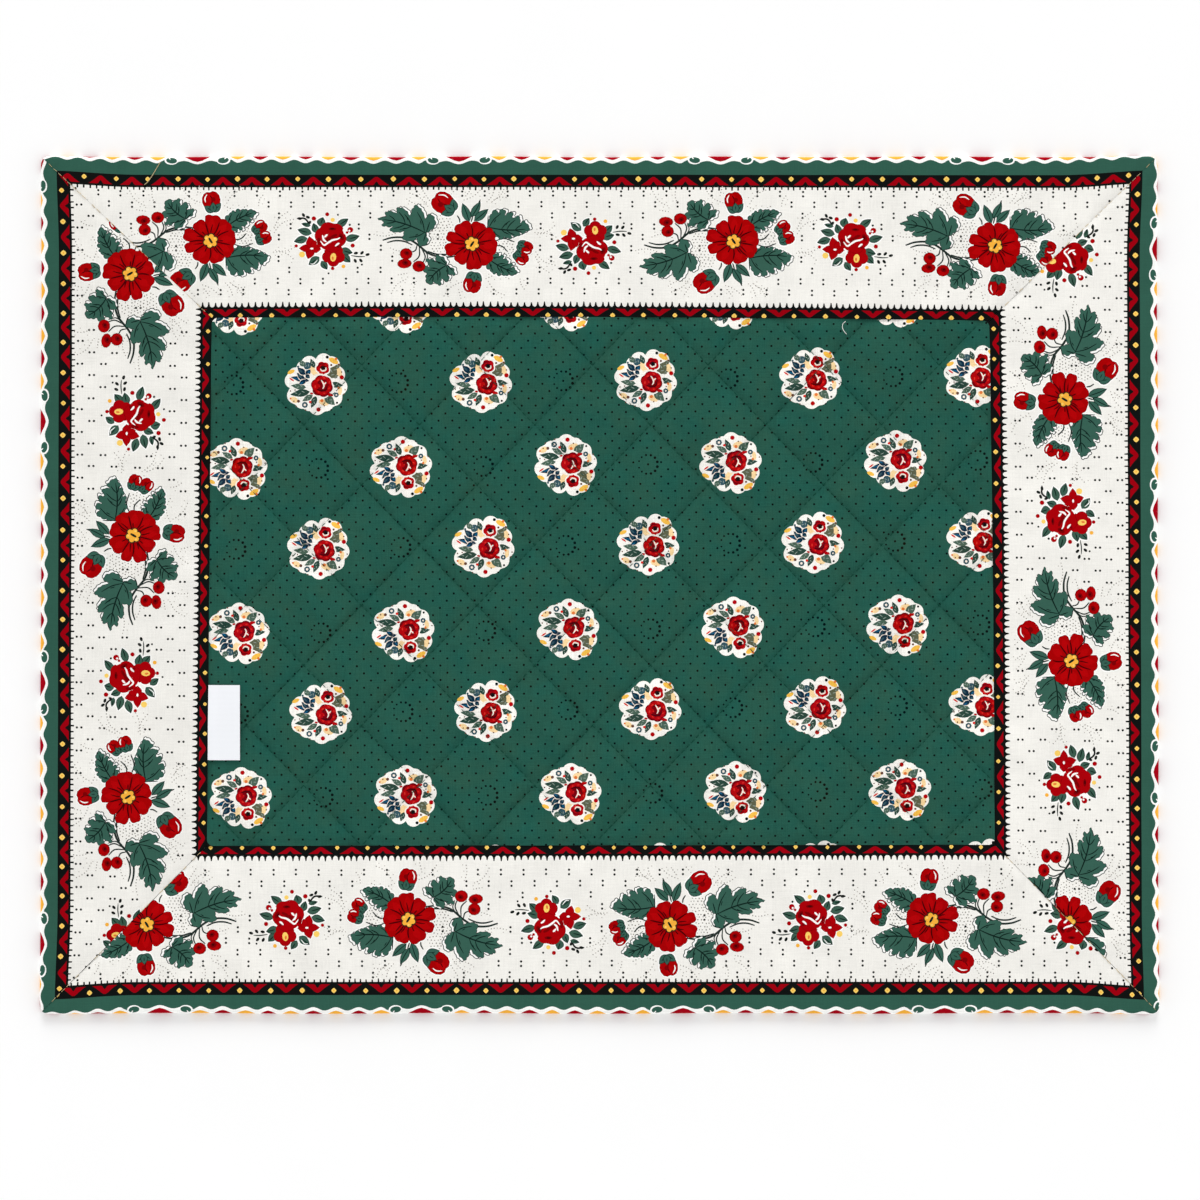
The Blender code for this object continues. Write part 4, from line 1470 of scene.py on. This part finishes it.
# Along each mitre: how many stitches, and where they start and how they follow, as shares of it.
MITRE_COUNT, MITRE_START, MITRE_STEP = 34, 0.03, 0.028
MITRE_HALF_STITCH = 1.15
MITRE_THREAD_DROP = 0.42
TAN_END = (-188.4 + 181.6j, -189.6 + 179.4j, -191.6 + 175.8j, -193.6 + 172.8j, -195.2 + 171.4j)
WHITE_END = (105.6 + 113.2j, 104.4 + 112.0j, 104.4 + 109.8j, 106.0 + 107.6j)
TAN_LIFT, WHITE_LIFT = 0.18, 0.2


def thread_along(path, thickness, sides=6):
    """A loose thread through points in space: points and faces of its tube."""
    path = np.array(path)
    points, faces = [], []
    for k, spot in enumerate(path):
        ahead = path[min(k + 1, len(path) - 1)] - path[max(k - 1, 0)]
        ahead /= np.linalg.norm(ahead)
        across = np.cross(ahead, [0, 0, 1.0])
        across /= np.linalg.norm(across)
        up = np.cross(across, ahead)
        for side in range(sides):
            angle = 2 * math.pi * side / sides
            points.append(spot + (across * math.cos(angle) + up * math.sin(angle)) * thickness / 2)
    for k in range(len(path) - 1):
        for side in range(sides):
            a = k * sides + side
            b = k * sides + (side + 1) % sides
            faces.append((a, b, b + sides, a + sides))
    faces.append(tuple(reversed(range(sides))))
    faces.append(tuple(len(points) - sides + side for side in range(sides)))
    return np.array(points), faces


def mitre_stitches():
    """Both ends of the stitches that show along the mitres; some of them are hidden."""
    drift = random.Random(3)
    ends = []
    for corner, tip in zip(OUTER_CORNERS.values(), SEAM_CORNERS.values()):
        run = tip - corner
        for k in range(MITRE_COUNT):
            share = MITRE_START + k * MITRE_STEP
            if drift.random() < (0.3 if share < 0.3 else 0.5):
                continue
            middle = corner + run * share
            half = run / abs(run) * (MITRE_HALF_STITCH + drift.uniform(-0.25, 0.2))
            side = 1j * run / abs(run) * drift.uniform(-0.12, 0.12)
            ends.append((middle - half + side, middle + half - side))
    return ends


top_lay = strip_layer(STRIPS[0])


def on_top_strip(points):
    """Points of the top strip's surface, given where they lie on the mat."""
    rim = OUTER_CORNERS["top_left"].imag
    return top_lay(np.array([[p.real, p.imag - rim] for p in points]))


def mat_lay(flat):
    """Height of the border near the mitres, for threads that lie across two strips."""
    heights = np.full(len(flat), STRIP_THICKNESS - MITRE_THREAD_DROP)
    return np.column_stack([flat, heights])


tan_thread = spun_thread("tan_thread", TAN_COLOUR)
points, faces = thread_stitches(mitre_stitches(), mat_lay, MITRE_THREAD)
mitre_seams = make_thread("mitre_stitches", points, faces, tan_thread)

path = on_top_strip(smooth_path(TAN_END, 6))
path[:, 2] += TAN_LIFT
points, faces = thread_along(path, LOOSE_THREAD)
loose_end = make_thread("loose_tan_thread", points, faces, tan_thread)

curl = np.array(smooth_path(WHITE_END, 6))
path = lay_panel(np.column_stack([curl.real, curl.imag]))
path[:, 2] += WHITE_LIFT
points, faces = thread_along(path, LOOSE_THREAD)
white_thread = spun_thread("white_thread", WHITE_COLOUR)
white_end = make_thread("loose_white_thread", points, faces, white_thread)

# ---------------------------------------------------------------------------------------------
# Label: a bare tab of white woven ribbon, its left end caught in the seam between the panel and
# the left strip. It lies loose on the quilted cloth.

LABEL_TOP = -42.9
LABEL_BOTTOM = -75.1
LABEL_RIGHT = -154.2
LABEL_THICKNESS = 0.35
LABEL_COLOUR = (244, 246, 250)
LABEL_COLUMNS, LABEL_ROWS = 12, 26
LABEL_GAP = 0.05  # least gap between the ribbon and the cloth under it
LABEL_ROOT = 2.0  # height at which it comes out of the seam


def label_edge(y):
    """The seam line, where the ribbon comes out."""
    low, high = SEAM_CORNERS["bottom_left"], SEAM_CORNERS["top_left"]
    return low.real + (high - low).real * (y - low.imag) / (high - low).imag


columns, rows = LABEL_COLUMNS, LABEL_ROWS
top, bottom, faces = [], [], []
for row in range(rows + 1):
    y = LABEL_TOP + (LABEL_BOTTOM - LABEL_TOP) * row / rows
    for column in range(columns + 1):
        left = label_edge(y) + 0.1
        x = left + (LABEL_RIGHT - left) * column / columns
        ground = float(quilted_height(np.array([x]), np.array([y]))[0])
        lift = 0.15 + 0.35 * (column / columns) ** 2 + 0.1 * math.sin(row / rows * 5)
        low = max(ground + LABEL_GAP, LABEL_ROOT + 0.3 * min(4, column))
        low += lift * min(1.0, column / 2)
        bottom.append((x, y, low))
        top.append((x, y, low + LABEL_THICKNESS))
sheet = len(top)
for row in range(rows):
    for column in range(columns):
        a = row * (columns + 1) + column
        b, c, d = a + 1, a + columns + 2, a + columns + 1
        faces.append((a, d, c, b))
        faces.append((a + sheet, b + sheet, c + sheet, d + sheet))
rim = list(range(columns + 1))
rim += [row * (columns + 1) + columns for row in range(1, rows + 1)]
rim += [rows * (columns + 1) + column for column in reversed(range(columns))]
rim += [row * (columns + 1) for row in reversed(range(1, rows))]
for a, b in zip(rim, rim[1:] + rim[:1]):
    faces.append((a, b, b + sheet, a + sheet))
mesh = bpy.data.meshes.new("bare_label")
mesh.from_pydata((np.array(top + bottom) * MM).tolist(), [], faces)
mesh.polygons.foreach_set("use_smooth", [True] * len(mesh.polygons))
mesh.set_sharp_from_angle(angle=math.radians(50))

# The ribbon's ribs get painted shade in their grooves: 0.94 of its colour.
ribbon = ridged("white_ribbon", LABEL_COLOUR, 0.94, "Y", 0.5, 0.15, 0.55, 0.35, (0.3, 0.00005))
mesh.materials.append(ribbon)
label = bpy.data.objects.new("bare_label", mesh)
bpy.context.scene.collection.objects.link(label)
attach(label, "root")
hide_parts("label_tab")

# ---------------------------------------------------------------------------------------------
# Table surface, light and camera: a plain white table, seen from straight above. The daylight is
# soft and comes mostly from low all round, with a weak broad lamp low on the far side.

TABLE_REACH = 6.0
TABLE_TONES = (0.97, 0.985)

mesh = bpy.data.meshes.new("table_surface")
corners = [(x * TABLE_REACH, y * TABLE_REACH, 0) for x, y in ((-1, -1), (1, -1), (1, 1), (-1, 1))]
mesh.from_pydata(corners, [], [(0, 1, 2, 3)])
paper, tree, shader = matt_material("table_white", 0.9, 0.1)
grain = new_node(tree, "ShaderNodeTexNoise", {"Scale": 300.0})
tones = {socket: (tone, tone, tone, 1) for socket, tone in zip("AB", TABLE_TONES)}
tones["Factor"] = grain.outputs["Fac"]
tint = new_node(tree, "ShaderNodeMix", tones, data_type="RGBA")
tree.links.new(tint.outputs["Result"], shader.inputs["Base Color"])
mesh.materials.append(paper)
table = bpy.data.objects.new("table_surface", mesh)
bpy.context.scene.collection.objects.link(table)
table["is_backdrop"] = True

# Strength of the sky right overhead, and how much brighter it grows toward the horizon.
SKY_OVERHEAD = 0.52
SKY_LOW = 1.95
LAMP_STRENGTH = 1.5
LAMP_SPREAD = 25
LAMP_LEAN = (-68.0, -4.0)

sky = bpy.data.worlds.new("soft_daylight")
sky.use_nodes = True
tree = sky.node_tree
background = tree.nodes["Background"]
background.inputs["Color"].default_value = (1, 1, 1, 1)
way = new_node(tree, "ShaderNodeTexCoord")
split = new_node(tree, "ShaderNodeSeparateXYZ", {0: way.outputs["Generated"]})
lowness = maths(tree, "SUBTRACT", 1.0, split.outputs["Z"])
lowness.node.use_clamp = True
glow = maths(tree, "MULTIPLY_ADD", maths(tree, "POWER", lowness, 2.0), SKY_LOW, SKY_OVERHEAD)
tree.links.new(glow, background.inputs["Strength"])
bpy.context.scene.world = sky
lamp = bpy.data.lights.new("window", "SUN")
lamp.energy = LAMP_STRENGTH
lamp.angle = math.radians(LAMP_SPREAD)
window = bpy.data.objects.new("window", lamp)
window.rotation_euler = (*map(math.radians, LAMP_LEAN), 0)
bpy.context.scene.collection.objects.link(window)

FRAME_WIDTH = 0.5148  # what the picture takes in of the mat, in metres
LENS = 100.0
FILM = 36.0
VIEW_CENTRE = (0.0002, -0.0064)

camera = bpy.data.cameras.new("view")
camera.lens = LENS
camera.sensor_width = FILM
eye = bpy.data.objects.new("view", camera)
eye.location = (*VIEW_CENTRE, FRAME_WIDTH * LENS / FILM + STRIP_THICKNESS * MM)
bpy.context.scene.collection.objects.link(eye)
bpy.context.scene.camera = eye
bpy.context.scene.view_settings.view_transform = "Standard"

boxes = {"solid": solid_box, "visual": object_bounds()}
{k: [list(map(float, p)) for p in box] for k, box in boxes.items()}
